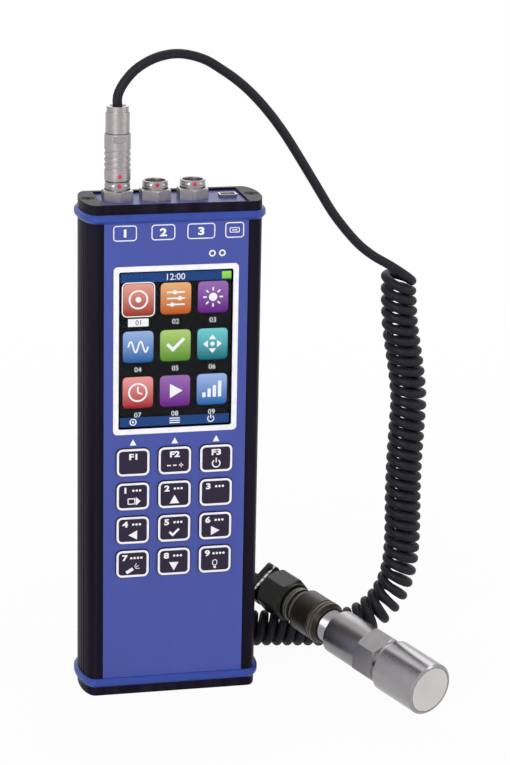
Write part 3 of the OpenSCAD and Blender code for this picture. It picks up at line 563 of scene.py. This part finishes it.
def make_cord():
    curls, coil_way, exit_way = curl_points()
    bends = [math.radians(90 * i / EXIT_STEPS) for i in range(1, EXIT_STEPS + 1)]
    leaving = [curls[-1] + EXIT_BEND * (exit_way * math.sin(a) + coil_way * (1 - math.cos(a)))
               for a in bends]
    clamp_end = SENSOR_PLACE + SENSOR_WAY * CORD_IN_CLAMP
    tail = [*leaving, *TAIL_ROUTE, clamp_end + SENSOR_WAY * CORD_D, clamp_end]
    path = smooth_route([*LEAD_ROUTE, *COIL_ENTRY, *curls, *tail], CORD_STEPS)
    mesh = mesh_from(lambda bm: tube(bm, path, CORD_D / 2, CORD_SIDES), smooth_angle=60)
    cord = add_piece("cord", mesh, METER, "cord_black")
    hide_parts("cord_lead", "cord_coil", "cord_tail")


make_cord()


# Flat marks. Outlines are lists of (x, z), and a mark stands out from y towards -Y.

ROUND_STEPS = 5
BAND_SOFT, BAND_LEAST = 0.4, 0.05
CAPITAL_SHARE, LETTER_STEPS = 0.7, 3


def rounded(width, height, radius, centre=(0, 0)):
    """A rectangle with round corners."""
    points = []
    for corner, (sx, sz) in enumerate(((1, 1), (-1, 1), (-1, -1), (1, -1))):
        for i in range(ROUND_STEPS + 1):
            a = math.radians(90 * (corner + i / ROUND_STEPS))
            points.append((centre[0] + sx * (width / 2 - radius) + radius * math.cos(a),
                           centre[1] + sz * (height / 2 - radius) + radius * math.sin(a)))
    return points


def disc(radius, centre=(0, 0), steps=32):
    return [(centre[0] + radius * math.cos(2 * math.pi * i / steps),
             centre[1] + radius * math.sin(2 * math.pi * i / steps)) for i in range(steps)]


def stroke(a, b, width):
    """A bar from a to b."""
    a, b = Vector(a), Vector(b)
    side = (b - a).orthogonal().normalized() * width / 2
    return [tuple(p) for p in (a + side, b + side, b - side, a - side)]


def ray(centre, degrees, near, far, width):
    """A bar that points away from the centre, from near to far."""
    way = Vector((math.cos(math.radians(degrees)), math.sin(math.radians(degrees))))
    return stroke(Vector(centre) + way * near, Vector(centre) + way * far, width)


def arc(radius, width, start, end, centre=(0, 0), steps=20):
    """Part of a ring, its angles in degrees."""
    angles = [math.radians(start + (end - start) * i / steps) for i in range(steps + 1)]
    outer, inner = radius + width / 2, radius - width / 2
    return ([(centre[0] + outer * math.cos(a), centre[1] + outer * math.sin(a)) for a in angles]
            + [(centre[0] + inner * math.cos(a), centre[1] + inner * math.sin(a))
               for a in reversed(angles)])


def triangle(width, height, turn=0, centre=(0, 0)):
    """A triangle that points up, turned by that many degrees."""
    a = math.radians(turn)
    corners = ((-width / 2, -height / 2), (width / 2, -height / 2), (0, height / 2))
    return [(centre[0] + x * math.cos(a) - z * math.sin(a),
             centre[1] + x * math.sin(a) + z * math.cos(a)) for x, z in corners]


def moved(points, place):
    """An outline that was drawn about its own middle, brought to its place."""
    return [(x + place[0], z + place[1]) for x, z in points]


def upright(points, y):
    """An outline at a depth, in metres."""
    return [(x * MM, y * MM, z * MM) for x, z in points]


def prism(bm, points, y, thickness):
    """A flat mark with that outline."""
    loft(bm, [upright(points, y), upright(points, y - thickness)])


def band(bm, width, height, radius, bar, centre, y, thickness):
    """A frame with rounded edges: its outline, the width of its bar, and how far it stands out."""
    soft = min(bar, thickness) * BAND_SOFT
    profile = [(0, 0), (0, thickness - soft), (soft, thickness), (bar - soft, thickness),
               (bar, thickness - soft), (bar, 0)]
    loft(bm, [upright(rounded(width - 2 * inset, height - 2 * inset,
                              max(radius - inset, BAND_LEAST), centre), y - lift)
              for inset, lift in profile], closed=True)


def ring(bm, outer, inner, centre, y, thickness):
    """A flat ring between two radii."""
    loft(bm, [upright(disc(r, centre), y - lift)
              for r, lift in ((outer, 0), (outer, thickness), (inner, thickness), (inner, 0))],
         closed=True)


def write(bm, words, size, centre, y, thickness, weight=0.0, stretch=1.0):
    """Plain lettering, centred, its capitals size high and stretched sideways."""
    curve = bpy.data.curves.new("words", "FONT")
    curve.body = words
    curve.size = size * MM / CAPITAL_SHARE
    curve.align_x, curve.align_y = "CENTER", "CENTER"
    curve.offset = weight * MM
    curve.extrude = thickness * MM / 2
    curve.resolution_u = LETTER_STEPS
    source = bpy.data.objects.new("words", curve)
    bpy.context.scene.collection.objects.link(source)
    mesh = bpy.data.meshes.new_from_object(
        source.evaluated_get(bpy.context.evaluated_depsgraph_get()))
    centring = [-(min(v.co[k] for v in mesh.vertices) + max(v.co[k] for v in mesh.vertices)) / 2
                for k in (0, 1)]
    place = (centre[0] * MM, (y - thickness / 2) * MM, centre[1] * MM)
    mesh.transform(Matrix.Translation(place)
                   @ Matrix.Rotation(math.pi / 2, 4, "X")
                   @ Matrix.Diagonal((stretch, 1, 1, 1))
                   @ Matrix.Translation((*centring, 0)))
    bm.from_mesh(mesh)
    bpy.data.objects.remove(source)
    bpy.data.curves.remove(curve)
    bpy.data.meshes.remove(mesh)


# Print on the front panel

FRONT_Y = low("front_panel").y
PRINT_T = 0.06
PORT_FRAMES = ((-28.5, -17.9, "1"), (-11.4, -0.7, "2"), (4.7, 17.3, "3"), (21.8, 30.4, ""))
PORT_LOW, PORT_HIGH = 213.7, 220.8
PORT_CORNER, PORT_BAR = 1.5, 0.5
PORT_LETTER, PORT_WEIGHT, PORT_STRETCH = 3.3, 0.2, 1.35
USB_OUTLINE, USB_BAR = (4.6, 2.4, 0.5), 0.4
USB_TONGUE, USB_TONGUE_T = 2.4, 0.5
ARROW, ARROW_DROP = (3.1, 2.9), 0.9


def port_marks(bm):
    """A rounded frame for each socket, with a plain number or a socket sign in it."""
    for x0, x1, number in PORT_FRAMES:
        x, z = (x0 + x1) / 2, (PORT_LOW + PORT_HIGH) / 2
        band(bm, x1 - x0, PORT_HIGH - PORT_LOW, PORT_CORNER, PORT_BAR, (x, z), FRONT_Y, PRINT_T)
        if number:
            write(bm, number, PORT_LETTER, (x, z), FRONT_Y, PRINT_T, PORT_WEIGHT, PORT_STRETCH)
        else:
            band(bm, *USB_OUTLINE, USB_BAR, (x, z), FRONT_Y, PRINT_T)
            half = USB_TONGUE / 2
            prism(bm, stroke((x - half, z), (x + half, z), USB_TONGUE_T), FRONT_Y, PRINT_T)


def make_panel_print():
    """The sockets' frames, and an arrow over each of the upper keys."""
    z = (high("key_f1").z + low("screen_frame").z) / 2 - ARROW_DROP

    def build(bm):
        port_marks(bm)
        for key in ("key_f1", "key_f2", "key_f3"):
            prism(bm, triangle(*ARROW, centre=(middle(key).x, z)), FRONT_Y, PRINT_T)

    add_piece("panel_print", mesh_from(build), METER, "frame_white")


LIGHT_RING_R, LIGHT_HOLE_R = 1.55, 0.87
LIGHT_DOME = ((0.82, 0), (0.75, 0.1), (0.4, 0.16))


def make_light_rings():
    corner, far = low("status_lights"), high("status_lights")
    half = (far.z - corner.z) / 2
    centres = [(x, corner.z + half) for x in (corner.x + half, far.x - half)]

    def rings(bm):
        for centre in centres:
            ring(bm, LIGHT_RING_R, LIGHT_HOLE_R, centre, FRONT_Y, PRINT_T)

    def domes(bm):
        for centre in centres:
            loft(bm, [upright(disc(r, centre, steps=24), FRONT_Y - lift) for r, lift in LIGHT_DOME])

    add_piece("light_rings", mesh_from(rings), METER, "frame_white")
    add_piece("light_domes", mesh_from(domes, smooth_angle=50), METER, "light_centre")


make_panel_print()
make_light_rings()


# Marks on the keys: a number, a short row of dots for its second use, and a plain sign

# Each key's number, count of dots and sign
KEY_MARKS = {
    "key_f1": ("F1", 0, None), "key_f2": ("F2", 0, "signs"), "key_f3": ("F3", 0, "power"),
    "key_1": ("1", 3, "next"), "key_2": ("2", 3, "up"), "key_3": ("3", 3, None),
    "key_4": ("4", 3, "left"), "key_5": ("5", 3, "accept"), "key_6": ("6", 3, "right"),
    "key_7": ("7", 4, "light"), "key_8": ("8", 3, "down"), "key_9": ("9", 4, "bulb"),
}
KEY_LETTER, KEY_WEIGHT, KEY_STRETCH = 2.6, 0.16, 1.3
KEY_TOP, KEY_TOP_ALONE, KEY_LOW = 2.95, 2.65, -2.3
NUMBER_SHIFT = -3.5
DOTS_X, DOTS_DROP, DOTS_GAP, DOTS_R = 1.7, 0.2, 1.55, 0.58
KEY_LIP, KEY_CORNER = 0.6, 2.8
RING_INSET, RING_BAR, RING_LIFT = 0.25, 1.0, 0.12
SIGN_LINE = 0.55
KEY_ARROW = (4.4, 4.0)

# Each sign's outlines, about its own middle, and the frames of those that have one
KEY_SIGNS = {
    "up": [triangle(*KEY_ARROW)],
    "left": [triangle(*KEY_ARROW, turn=90)],
    "down": [triangle(*KEY_ARROW, turn=180)],
    "right": [triangle(*KEY_ARROW, turn=-90)],
    "power": [arc(1.75, 0.6, -235, 55, (0, -0.1)), stroke((0, 0.3), (0, 2.55), 0.6)],
    "accept": [[(-2.5, 0.2), (-1.8, 0.9), (-0.7, -0.3), (1.9, 2.2), (2.6, 1.5), (-0.7, -1.8)]],
    "signs": [stroke((-3.6, 0), (-1.8, 0), SIGN_LINE), stroke((-0.8, 0), (0.8, 0), SIGN_LINE),
              stroke((1.9, 0), (3.9, 0), SIGN_LINE), stroke((2.9, -1), (2.9, 1), SIGN_LINE)],
    "next": [triangle(4.0, 2.2, -90, (2.4, 0))],
    "light": [stroke((-2.9, -1.9), (0.2, -0.1), 1.5),
              *(ray((0.4, 0), degrees, 0.9, 2.8, 0.35) for degrees in (0, 30, 60))],
    "bulb": [stroke((-0.6, -1.6), (0.6, -1.6), 1.0)],
}
KEY_SIGN_FRAMES = {"next": (3.6, 3.0, 0.5, 0.5, (-0.7, 0)), "bulb": (2.4, 3.0, 1.15, 0.4, (0, 0.6))}


def key_sign(bm, kind, place, y):
    for points in KEY_SIGNS[kind]:
        prism(bm, moved(points, place), y, PRINT_T)
    if kind in KEY_SIGN_FRAMES:
        *sizes, centre = KEY_SIGN_FRAMES[kind]
        band(bm, *sizes, *moved([centre], place), y, PRINT_T)


def make_key_marks(key):
    """The white frame on a key's rim, and the marks inside it."""
    number, dot_count, kind = KEY_MARKS[key]
    size = high(key) - low(key)
    x, y, z = middle(key).x, low(key).y, middle(key).z
    inset = KEY_LIP + RING_INSET

    def rim(bm):
        band(bm, size.x - 2 * inset, size.z - 2 * inset, KEY_CORNER - RING_INSET, RING_BAR,
             (x, z), y, RING_LIFT)

    def marks(bm):
        row = z + (KEY_TOP if kind or dot_count else KEY_TOP_ALONE)
        shift = NUMBER_SHIFT if dot_count else 0
        write(bm, number, KEY_LETTER, (x + shift, row), y, PRINT_T, KEY_WEIGHT, KEY_STRETCH)
        for i in range(dot_count):
            across = DOTS_X + (i - (dot_count - 1) / 2) * DOTS_GAP
            prism(bm, disc(DOTS_R, (x + across, row - DOTS_DROP), steps=12), y, PRINT_T)
        if kind:
            key_sign(bm, kind, (x, z + KEY_LOW), y)

    body = key + "_cap"
    add_piece(key + "_rim", mesh_from(rim, smooth_angle=50), body, "frame_white")
    add_piece(key + "_marks", mesh_from(marks), body, "frame_white")


for key in KEY_MARKS:
    make_key_marks(key)


# Screen, behind the window, in layers as thick as UI_T

SCREEN_SIZE = high("screen_lens") - low("screen_lens")
SCREEN_X, SCREEN_Z = middle("screen_lens").x, middle("screen_lens").z
SCREEN_INSET, GROUND_INSET, GROUND_CORNER = 0.8, 0.4, 0.3
SCREEN_LOW = low("screen_lens").z + SCREEN_INSET
SCREEN_HIGH = high("screen_lens").z - SCREEN_INSET
UI_T = 0.015
BAR_H, BAR_CORNER = 4.3, 0.1
TOP_BAR_Z, LOW_BAR_Z = SCREEN_HIGH - BAR_H / 2, SCREEN_LOW + BAR_H / 2
TILE_W, TILE_H, TILE_CORNER = 13.8, 14.4, 2.0
TILE_PLACES = [(x, z) for z in (186.85, 165.2, 144.1) for x in (-16.9, 0.0, 16.9)]
CHOSEN_FRAME = (TILE_W + 1.2, TILE_H + 1.5, 2.5, 0.5)
CAPTION_DROP, CAPTION_LETTER, CAPTION_BOX = 10.5, 2.3, (9.3, 3.6, 0.2)
CLOCK_LETTER = 2.9
SOFT_KEY_X = (-19.0, 0.0, 16.6)
BATTERY_X, BATTERY_BOX = 23.1, (4.6, 3.3, 0.3)
BAR_BLUE = (0.013, 0.055, 0.21)
WHITE, BLACK = (0.9, 0.92, 0.95), (0.004, 0.004, 0.005)
BATTERY_GREEN = ((0.35, 0.75, 0.1), (0.2, 0.6, 0.05))
TILE_COLOURS = [
    ((0.80, 0.36, 0.28), (0.34, 0.025, 0.012)), ((0.83, 0.45, 0.20), (0.52, 0.09, 0.01)),
    ((0.33, 0.15, 0.45), (0.12, 0.01, 0.21)), ((0.32, 0.46, 0.76), (0.005, 0.10, 0.35)),
    ((0.45, 0.64, 0.18), (0.08, 0.25, 0.02)), ((0.18, 0.62, 0.64), (0.00, 0.13, 0.18)),
    ((0.86, 0.34, 0.32), (0.36, 0.008, 0.015)), ((0.33, 0.15, 0.45), (0.13, 0.01, 0.22)),
    ((0.34, 0.48, 0.80), (0.005, 0.11, 0.38))]
WAVE = [(-4.5 + 9 * k / 24, 2.6 * math.sin(2 * math.pi * k / 12)) for k in range(25)]
DIAL = arc(4.0, 0.8, 0, 359.9, steps=40)

# A plain white sign for each tile: its outlines about the tile's middle
TILE_SIGNS = [
    [DIAL, disc(1.3)],
    [shape for k, knob in ((-1, -1.6), (0, 1.8), (1, -0.4))
     for shape in (stroke((-4, 2.8 * k), (4, 2.8 * k), 0.7), disc(1.0, (knob, 2.8 * k), 20))],
    [disc(1.9), *(ray((0, 0), 45 * k, 2.9, 4.5, 0.7) for k in range(8))],
    [stroke(a, b, 0.75) for a, b in zip(WAVE, WAVE[1:])],
    [[(-4.2, 0.2), (-3.2, 1.2), (-1.1, -0.9), (3.4, 3.6), (4.4, 2.6), (-1.1, -3.0)]],
    [disc(1.0, steps=20),
     *(triangle(3.4, 2.2, 90 * k - 90, (3.2 * math.cos(math.pi / 2 * k),
                                        3.2 * math.sin(math.pi / 2 * k))) for k in range(4))],
    [DIAL, stroke((0, 0), (0, 2.7), 0.7), stroke((0, 0), (2.0, -0.9), 0.7)],
    [triangle(6.6, 5.8, -90, (0.6, 0))],
    [stroke((-3.6 + 2.4 * k, -3.6), (-3.6 + 2.4 * k, -3.6 + rise), 1.5)
     for k, rise in enumerate((2.2, 3.9, 5.4, 7.4))],
]
# The signs over the three soft keys: a dot in its ring, three lines and a power sign
SOFT_KEY_SIGNS = [
    [disc(0.5, steps=12)],
    [stroke((-2.4, 1.05 * k), (2.4, 1.05 * k), 0.5) for k in (-1, 0, 1)],
    [arc(1.4, 0.45, -235, 55), stroke((0, 0.2), (0, 1.9), 0.45)],
]
SOFT_RING = (1.6, 1.15)


def layer(number):
    """The depth at which a layer of the screen starts."""
    return low("display_module").y - number * UI_T


def flat_piece(name, outlines, number, material):
    """A lit piece of flat outlines in one layer."""
    def build(bm):
        for points in outlines:
            prism(bm, points, layer(number), UI_T)

    add_piece(name, mesh_from(build), METER, material)


def caption_place(index):
    x, z = TILE_PLACES[index]
    return x, z - CAPTION_DROP


def screen_signs(bm):
    """What is white on the screen: signs, captions, the clock, and the chosen tile's frame."""
    y = layer(2)
    for index, (place, sign) in enumerate(zip(TILE_PLACES, TILE_SIGNS)):
        for points in sign:
            prism(bm, moved(points, place), y, UI_T)
        if index:
            write(bm, f"0{index + 1}", CAPTION_LETTER, caption_place(index), y, UI_T)
    band(bm, *CHOSEN_FRAME, TILE_PLACES[0], y, UI_T)
    prism(bm, rounded(*CAPTION_BOX, caption_place(0)), y, UI_T)
    write(bm, "12:00", CLOCK_LETTER, (SCREEN_X, TOP_BAR_Z), y, UI_T)
    for x, sign in zip(SOFT_KEY_X, SOFT_KEY_SIGNS):
        for points in sign:
            prism(bm, moved(points, (x, LOW_BAR_Z)), y, UI_T)
    ring(bm, *SOFT_RING, (SOFT_KEY_X[0], LOW_BAR_Z), y, UI_T)


def make_screen():
    white, black = lit("lit_white", WHITE, WHITE), lit("lit_black", BLACK, BLACK)
    ground = rounded(SCREEN_SIZE.x - 2 * GROUND_INSET, SCREEN_SIZE.z - 2 * GROUND_INSET,
                     GROUND_CORNER, (SCREEN_X, SCREEN_Z))
    flat_piece("screen_ground", [ground], 0, black)
    bars = [rounded(SCREEN_SIZE.x - 2 * SCREEN_INSET, BAR_H, BAR_CORNER, (SCREEN_X, z))
            for z in (TOP_BAR_Z, LOW_BAR_Z)]
    flat_piece("screen_bars", bars, 1, lit("lit_bar", BAR_BLUE, BAR_BLUE))
    for number, (place, colours) in enumerate(zip(TILE_PLACES, TILE_COLOURS), 1):
        flat_piece(f"screen_tile_{number}", [rounded(TILE_W, TILE_H, TILE_CORNER, place)], 1,
                   lit(f"lit_tile_{number}", *colours))
    add_piece("screen_signs", mesh_from(screen_signs), METER, white)
    caption = mesh_from(
        lambda bm: write(bm, "01", CAPTION_LETTER, caption_place(0), layer(3), UI_T))
    add_piece("screen_caption", caption, METER, black)
    flat_piece("screen_battery", [rounded(*BATTERY_BOX, (BATTERY_X, TOP_BAR_Z))], 2,
               lit("lit_green", *BATTERY_GREEN))


make_screen()


# Sockets with their outer threads, and the red dots that line the plug up

TURNED_SIDES = 64
THREAD_PITCH, THREAD_DEPTH = 0.95, 0.42
THREAD_START, THREAD_RUNOUT = 0.4, 1.2
CREST_START, CREST_END = 0.3 * THREAD_PITCH, 0.45 * THREAD_PITCH
RIM_FOOT, RIM_NECK, RIM_SHOULDER = 0.75, 0.6, 0.3
RIM_INSET, RIM_BEVEL, BORE_BEVEL = 0.1, 0.45, 0.3
SOCKET_FLAT = 0.8
CUT_CLEAR = 2
DOT_R, DOT_LIFT, DOT_SINK = 0.95, 0.08, 0.02
DOT_PROFILE = ((DOT_R, -DOT_SINK), (DOT_R, 0.6 * DOT_LIFT), (0.8 * DOT_R, DOT_LIFT),
               (0.3 * DOT_R, 1.1 * DOT_LIFT))
SOCKET_DOT_RISE, PLUG_DOT_RISE = 0.3, 2.6


def block(bm, axes, near, far):
    """A box between two corners, in its own axes."""
    (x0, y0, z0), (x1, y1, z1) = near, far
    loft(bm, [[axes @ Vector((x * MM, y * MM, z * MM))
               for x, y in ((x0, y0), (x1, y0), (x1, y1), (x0, y1))] for z in (z0, z1)])


def revolve(bm, axes, profile):
    """A closed profile of (radius, level), turned round the Z of the axes."""
    angles = [2 * math.pi * k / TURNED_SIDES for k in range(TURNED_SIDES)]
    loft(bm, [[axes @ Vector((r * MM * math.cos(a), r * MM * math.sin(a), level * MM))
               for a in angles] for r, level in profile], closed=True)


def socket_profile(outer, bore, base, foot, rim):
    """Half a section of a socket: its base, the thread from the nut to the rim, and the rim."""
    root = outer - THREAD_DEPTH
    profile = [(bore, base), (root, base), (root, foot)]
    for i in range(int((rim - foot - THREAD_RUNOUT) / THREAD_PITCH)):
        level = foot + THREAD_START + i * THREAD_PITCH
        profile += [(root, level), (outer, level + CREST_START), (outer, level + CREST_END)]
    return profile + [
        (root, rim - RIM_FOOT), (outer - RIM_INSET, rim - RIM_NECK),
        (outer - RIM_INSET, rim - RIM_SHOULDER), (outer - RIM_BEVEL, rim),
        (bore + BORE_BEVEL, rim), (bore, rim - BORE_BEVEL)]


def cut_away(piece, cutting_mesh):
    """Take the cutting mesh out of the piece."""
    cutter = bpy.data.objects.new("cutter", cutting_mesh)
    bpy.context.scene.collection.objects.link(cutter)
    cut = piece.modifiers.new("flats", "BOOLEAN")
    cut.operation, cut.solver, cut.object = "DIFFERENCE", "EXACT", cutter
    piece.data = bpy.data.meshes.new_from_object(
        piece.evaluated_get(bpy.context.evaluated_depsgraph_get()))
    piece.modifiers.clear()
    bpy.data.objects.remove(cutter)


def make_socket(node):
    """A socket shell whose threads stop at its flats."""
    corner, far, centre = low(node), high(node), middle(node)
    outer, bore = (far.x - corner.x) / 2, mount("socket_2_bore")["dims"]["r_mm"]
    foot, rim = high("socket_nuts").z, far.z
    axes = Matrix.Translation((centre.x * MM, centre.y * MM, 0))

    def flats(bm):
        reach, near, away = outer + CUT_CLEAR / 2, outer - SOCKET_FLAT, outer + CUT_CLEAR
        for y0, y1 in ((-away, -near), (near, away)):
            block(bm, axes, (-reach, y0, foot), (reach, y1, rim + CUT_CLEAR))

    profile = socket_profile(outer, bore, corner.z, foot, rim)
    shell = add_piece(node + "_shell", mesh_from(lambda bm: revolve(bm, axes, profile)), METER,
                      "nickel")
    cut_away(shell, mesh_from(flats))
    smooth_by_angle(shell.data, 35)
    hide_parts(node)
    dot_place = Vector((centre.x, SOCKET_FLAT - outer, (foot + rim) / 2 + SOCKET_DOT_RISE))
    make_dot(node + "_dot", dot_place)


def make_dot(name, place, radius=None, body=METER):
    """A red enamel dot, flat or bent round an upright cylinder of that radius."""
    def depth(x, lift):
        if radius is None:
            return place.y - lift
        return -math.sqrt((radius + lift) ** 2 - x * x)

    def build(bm):
        loft(bm, [[Vector((place.x + x, depth(x, lift), place.z + z)) * MM
                   for x, z in disc(r, steps=20)] for r, lift in DOT_PROFILE])

    add_piece(name, mesh_from(build, smooth_angle=60), body, "dot_red")


def make_plug_dot():
    corner, far, centre = low("plug_sleeve"), high("plug_sleeve"), middle("plug_sleeve")
    place = Vector((centre.x, 0, corner.z + PLUG_DOT_RISE))
    make_dot("plug_dot", place, (far.x - corner.x) / 2, "release_sleeve")


for number in (1, 2, 3):
    make_socket(f"socket_{number}")
make_plug_dot()


# Sensor: the neck's thread, ticks on the rings and ribs, and the clamp's zinc strip. Levels are
# distances from the magnet's face along the sensor's axis, and a band is a level and a length.

SENSOR_AXES = (Matrix.Translation(SENSOR_PLACE)
               @ Matrix.Rotation(math.atan2(SENSOR_WAY.y, SENSOR_WAY.x), 4, "Z")
               @ Matrix.Rotation(math.acos(SENSOR_WAY.z), 4, "Y"))
NECK_R, NECK_START, NECK_END = 7.7, 63.9, 69.7
NECK_PITCH, NECK_RIDGE = 0.63, 0.22
RING_R, RING_BANDS = 10.2, ((71.8, 0.9), (73.6, 0.9))
RIB_R, RIB_BANDS = 8.43, ((88.6, 1.1), (91.7, 1.0), (93.2, 0.8))
SINK = 0.1
TICK_LIFT, TICK_WIDTH, TICK_COUNT = 0.12, 0.34, 60
CLAMP_START, CLAMP_TURN, CLAMP_FACE = 113.7, 50, 5.25
STRIP_X = (-8.6, -6.4, -3.6, -0.4, 2.2, 5.0, 8.4)
STRIP_LOW, STRIP_HIGH, STRIP_GAP, STRIP_T = 1.2, 2.5, 0.5, 0.3
LUG_X, LUG_LEVEL, LUG_R, LUG_T = 6.6, 3.95, 2.1, 0.8
LUG_PROFILE = ((LUG_R, -SINK), (LUG_R, 0.6 * LUG_T), (LUG_R - 0.5, LUG_T))


def make_neck_thread():
    profile = [(NECK_R - SINK, NECK_START)]
    for i in range(int((NECK_END - NECK_START) / NECK_PITCH)):
        level = NECK_START + i * NECK_PITCH
        profile += [(NECK_R, level), (NECK_R + NECK_RIDGE, level + NECK_PITCH / 2)]
    profile += [(NECK_R, NECK_END), (NECK_R - SINK, NECK_END)]
    mesh = mesh_from(lambda bm: revolve(bm, SENSOR_AXES, profile), smooth_angle=20)
    add_piece("neck_thread", mesh, METER, "magnet_steel")


def make_ticks(name, body, radius, bands):
    """Short ridges along the axis, all round on each band."""
    def build(bm):
        for level, length in bands:
            for k in range(TICK_COUNT):
                axes = SENSOR_AXES @ Matrix.Rotation(2 * math.pi * k / TICK_COUNT, 4, "Z")
                block(bm, axes, (radius - SINK, -TICK_WIDTH / 2, level),
                      (radius + TICK_LIFT, TICK_WIDTH / 2, level + length))

    add_piece(name, mesh_from(build), body, "worn_metal")


def make_clamp_trim():
    axes = (SENSOR_AXES @ Matrix.Translation((0, 0, CLAMP_START * MM))
            @ Matrix.Rotation(math.radians(CLAMP_TURN), 4, "Z"))

    def strip(bm):
        for a, b in zip(STRIP_X, STRIP_X[1:]):
            block(bm, axes, (a, CLAMP_FACE - SINK, STRIP_LOW),
                  (b - STRIP_GAP, CLAMP_FACE + STRIP_T, STRIP_HIGH))

    def lugs(bm):
        for x in (-LUG_X, LUG_X):
            loft(bm, [[axes @ Vector(p)
                       for p in upright(disc(r, (x, LUG_LEVEL), steps=24), CLAMP_FACE + lift)]
                      for r, lift in LUG_PROFILE])

    add_piece("clamp_strip", mesh_from(strip), METER, "zinc")
    add_piece("clamp_lugs", mesh_from(lugs, smooth_angle=40), METER, "connector_black")


make_neck_thread()
make_ticks("coupling_ticks", "sensor_coupling", RING_R, RING_BANDS)
make_ticks("rib_ticks", METER, RIB_R, RIB_BANDS)
make_clamp_trim()


# Stage, in metres: a white floor, a white world and soft lamps

FLOOR_SIZE = 6
FLOOR_GREY = (0.9, 0.9, 0.9)
GLOW_SPAN, GLOW_NEAR, GLOW_FAR = (0.15, 0.8), 0.95, 1.0
WORLD_LIGHT, WORLD_SEEN = 0.35, 1.0
LAMP_TARGET = (0.03, 0, 0.12)
LAMPS = {
    "key_lamp": ((-0.8, -1.3, 0.8), (0.8, 1.2), 17),
    "fill_lamp": ((1.4, -0.8, 0.6), (0.5, 1.0), 6),
    "top_lamp": ((0.1, 0.3, 1.6), (1.0, 0.8), 3),
    "back_lamp": ((0.3, 1.4, 0.9), (1.0, 1.0), 6),
}


def ray_is_seen(nodes, links):
    """1 for rays from the camera and for those that a metal or glass mirrors."""
    path = nodes.new("ShaderNodeLightPath")
    seen = path.outputs["Is Camera Ray"]
    for name in ("Is Glossy Ray", "Is Transmission Ray"):
        larger = nodes.new("ShaderNodeMath")
        larger.operation = "MAXIMUM"
        links.new(seen, larger.inputs[0])
        links.new(path.outputs[name], larger.inputs[1])
        seen = larger.outputs["Value"]
    return seen


def floor_material():
    """White paper that glows for the seen rays, a little less near the object."""
    t = Tree("floor_white")
    t.set(Base_Color=FLOOR_GREY, Roughness=0.9, Specular_IOR_Level=0.1)
    glow = t.nodes.new("ShaderNodeEmission")
    glow.inputs["Color"].default_value = (1, 1, 1, 1)
    away = t.nodes.new("ShaderNodeVectorMath")
    away.operation = "LENGTH"
    t.link(t.place, away.inputs[0])
    share = t.remap(away.outputs["Value"], GLOW_SPAN, GLOW_NEAR, GLOW_FAR)
    mixer = t.nodes.new("ShaderNodeMixShader")
    t.link(t.math("MULTIPLY", ray_is_seen(t.nodes, t.links), share), mixer.inputs["Fac"])
    t.link(t.shader.outputs["BSDF"], mixer.inputs[1])
    t.link(glow.outputs["Emission"], mixer.inputs[2])
    t.link(mixer.outputs["Shader"], t.nodes["Material Output"].inputs["Surface"])
    return t.material


def make_floor():
    half = FLOOR_SIZE / 2
    mesh = bpy.data.meshes.new("floor")
    mesh.from_pydata([(-half, -half, 0), (half, -half, 0), (half, half, 0), (-half, half, 0)], [],
                     [(0, 1, 2, 3)])
    mesh.materials.append(floor_material())
    floor = bpy.data.objects.new("floor", mesh)
    bpy.context.scene.collection.objects.link(floor)


def make_world():
    world = bpy.data.worlds.new("studio")
    bpy.context.scene.world = world
    world.use_nodes = True
    nodes, links = world.node_tree.nodes, world.node_tree.links
    background = nodes["Background"]
    background.inputs["Color"].default_value = (1, 1, 1, 1)
    level = nodes.new("ShaderNodeMapRange")
    level.inputs["To Min"].default_value = WORLD_LIGHT
    level.inputs["To Max"].default_value = WORLD_SEEN
    links.new(ray_is_seen(nodes, links), level.inputs["Value"])
    links.new(level.outputs["Result"], background.inputs["Strength"])


def make_lamp(name, place, size, power):
    data = bpy.data.lights.new(name, "AREA")
    data.shape = "RECTANGLE"
    data.size, data.size_y = size
    data.energy = power
    lamp = bpy.data.objects.new(name, data)
    lamp.location = place
    way = Vector(LAMP_TARGET) - Vector(place)
    lamp.rotation_euler = way.to_track_quat("-Z", "Y").to_euler()
    bpy.context.scene.collection.objects.link(lamp)


bpy.context.scene.view_settings.view_transform = "Standard"
make_floor()
make_world()
for name, details in LAMPS.items():
    make_lamp(name, *details)
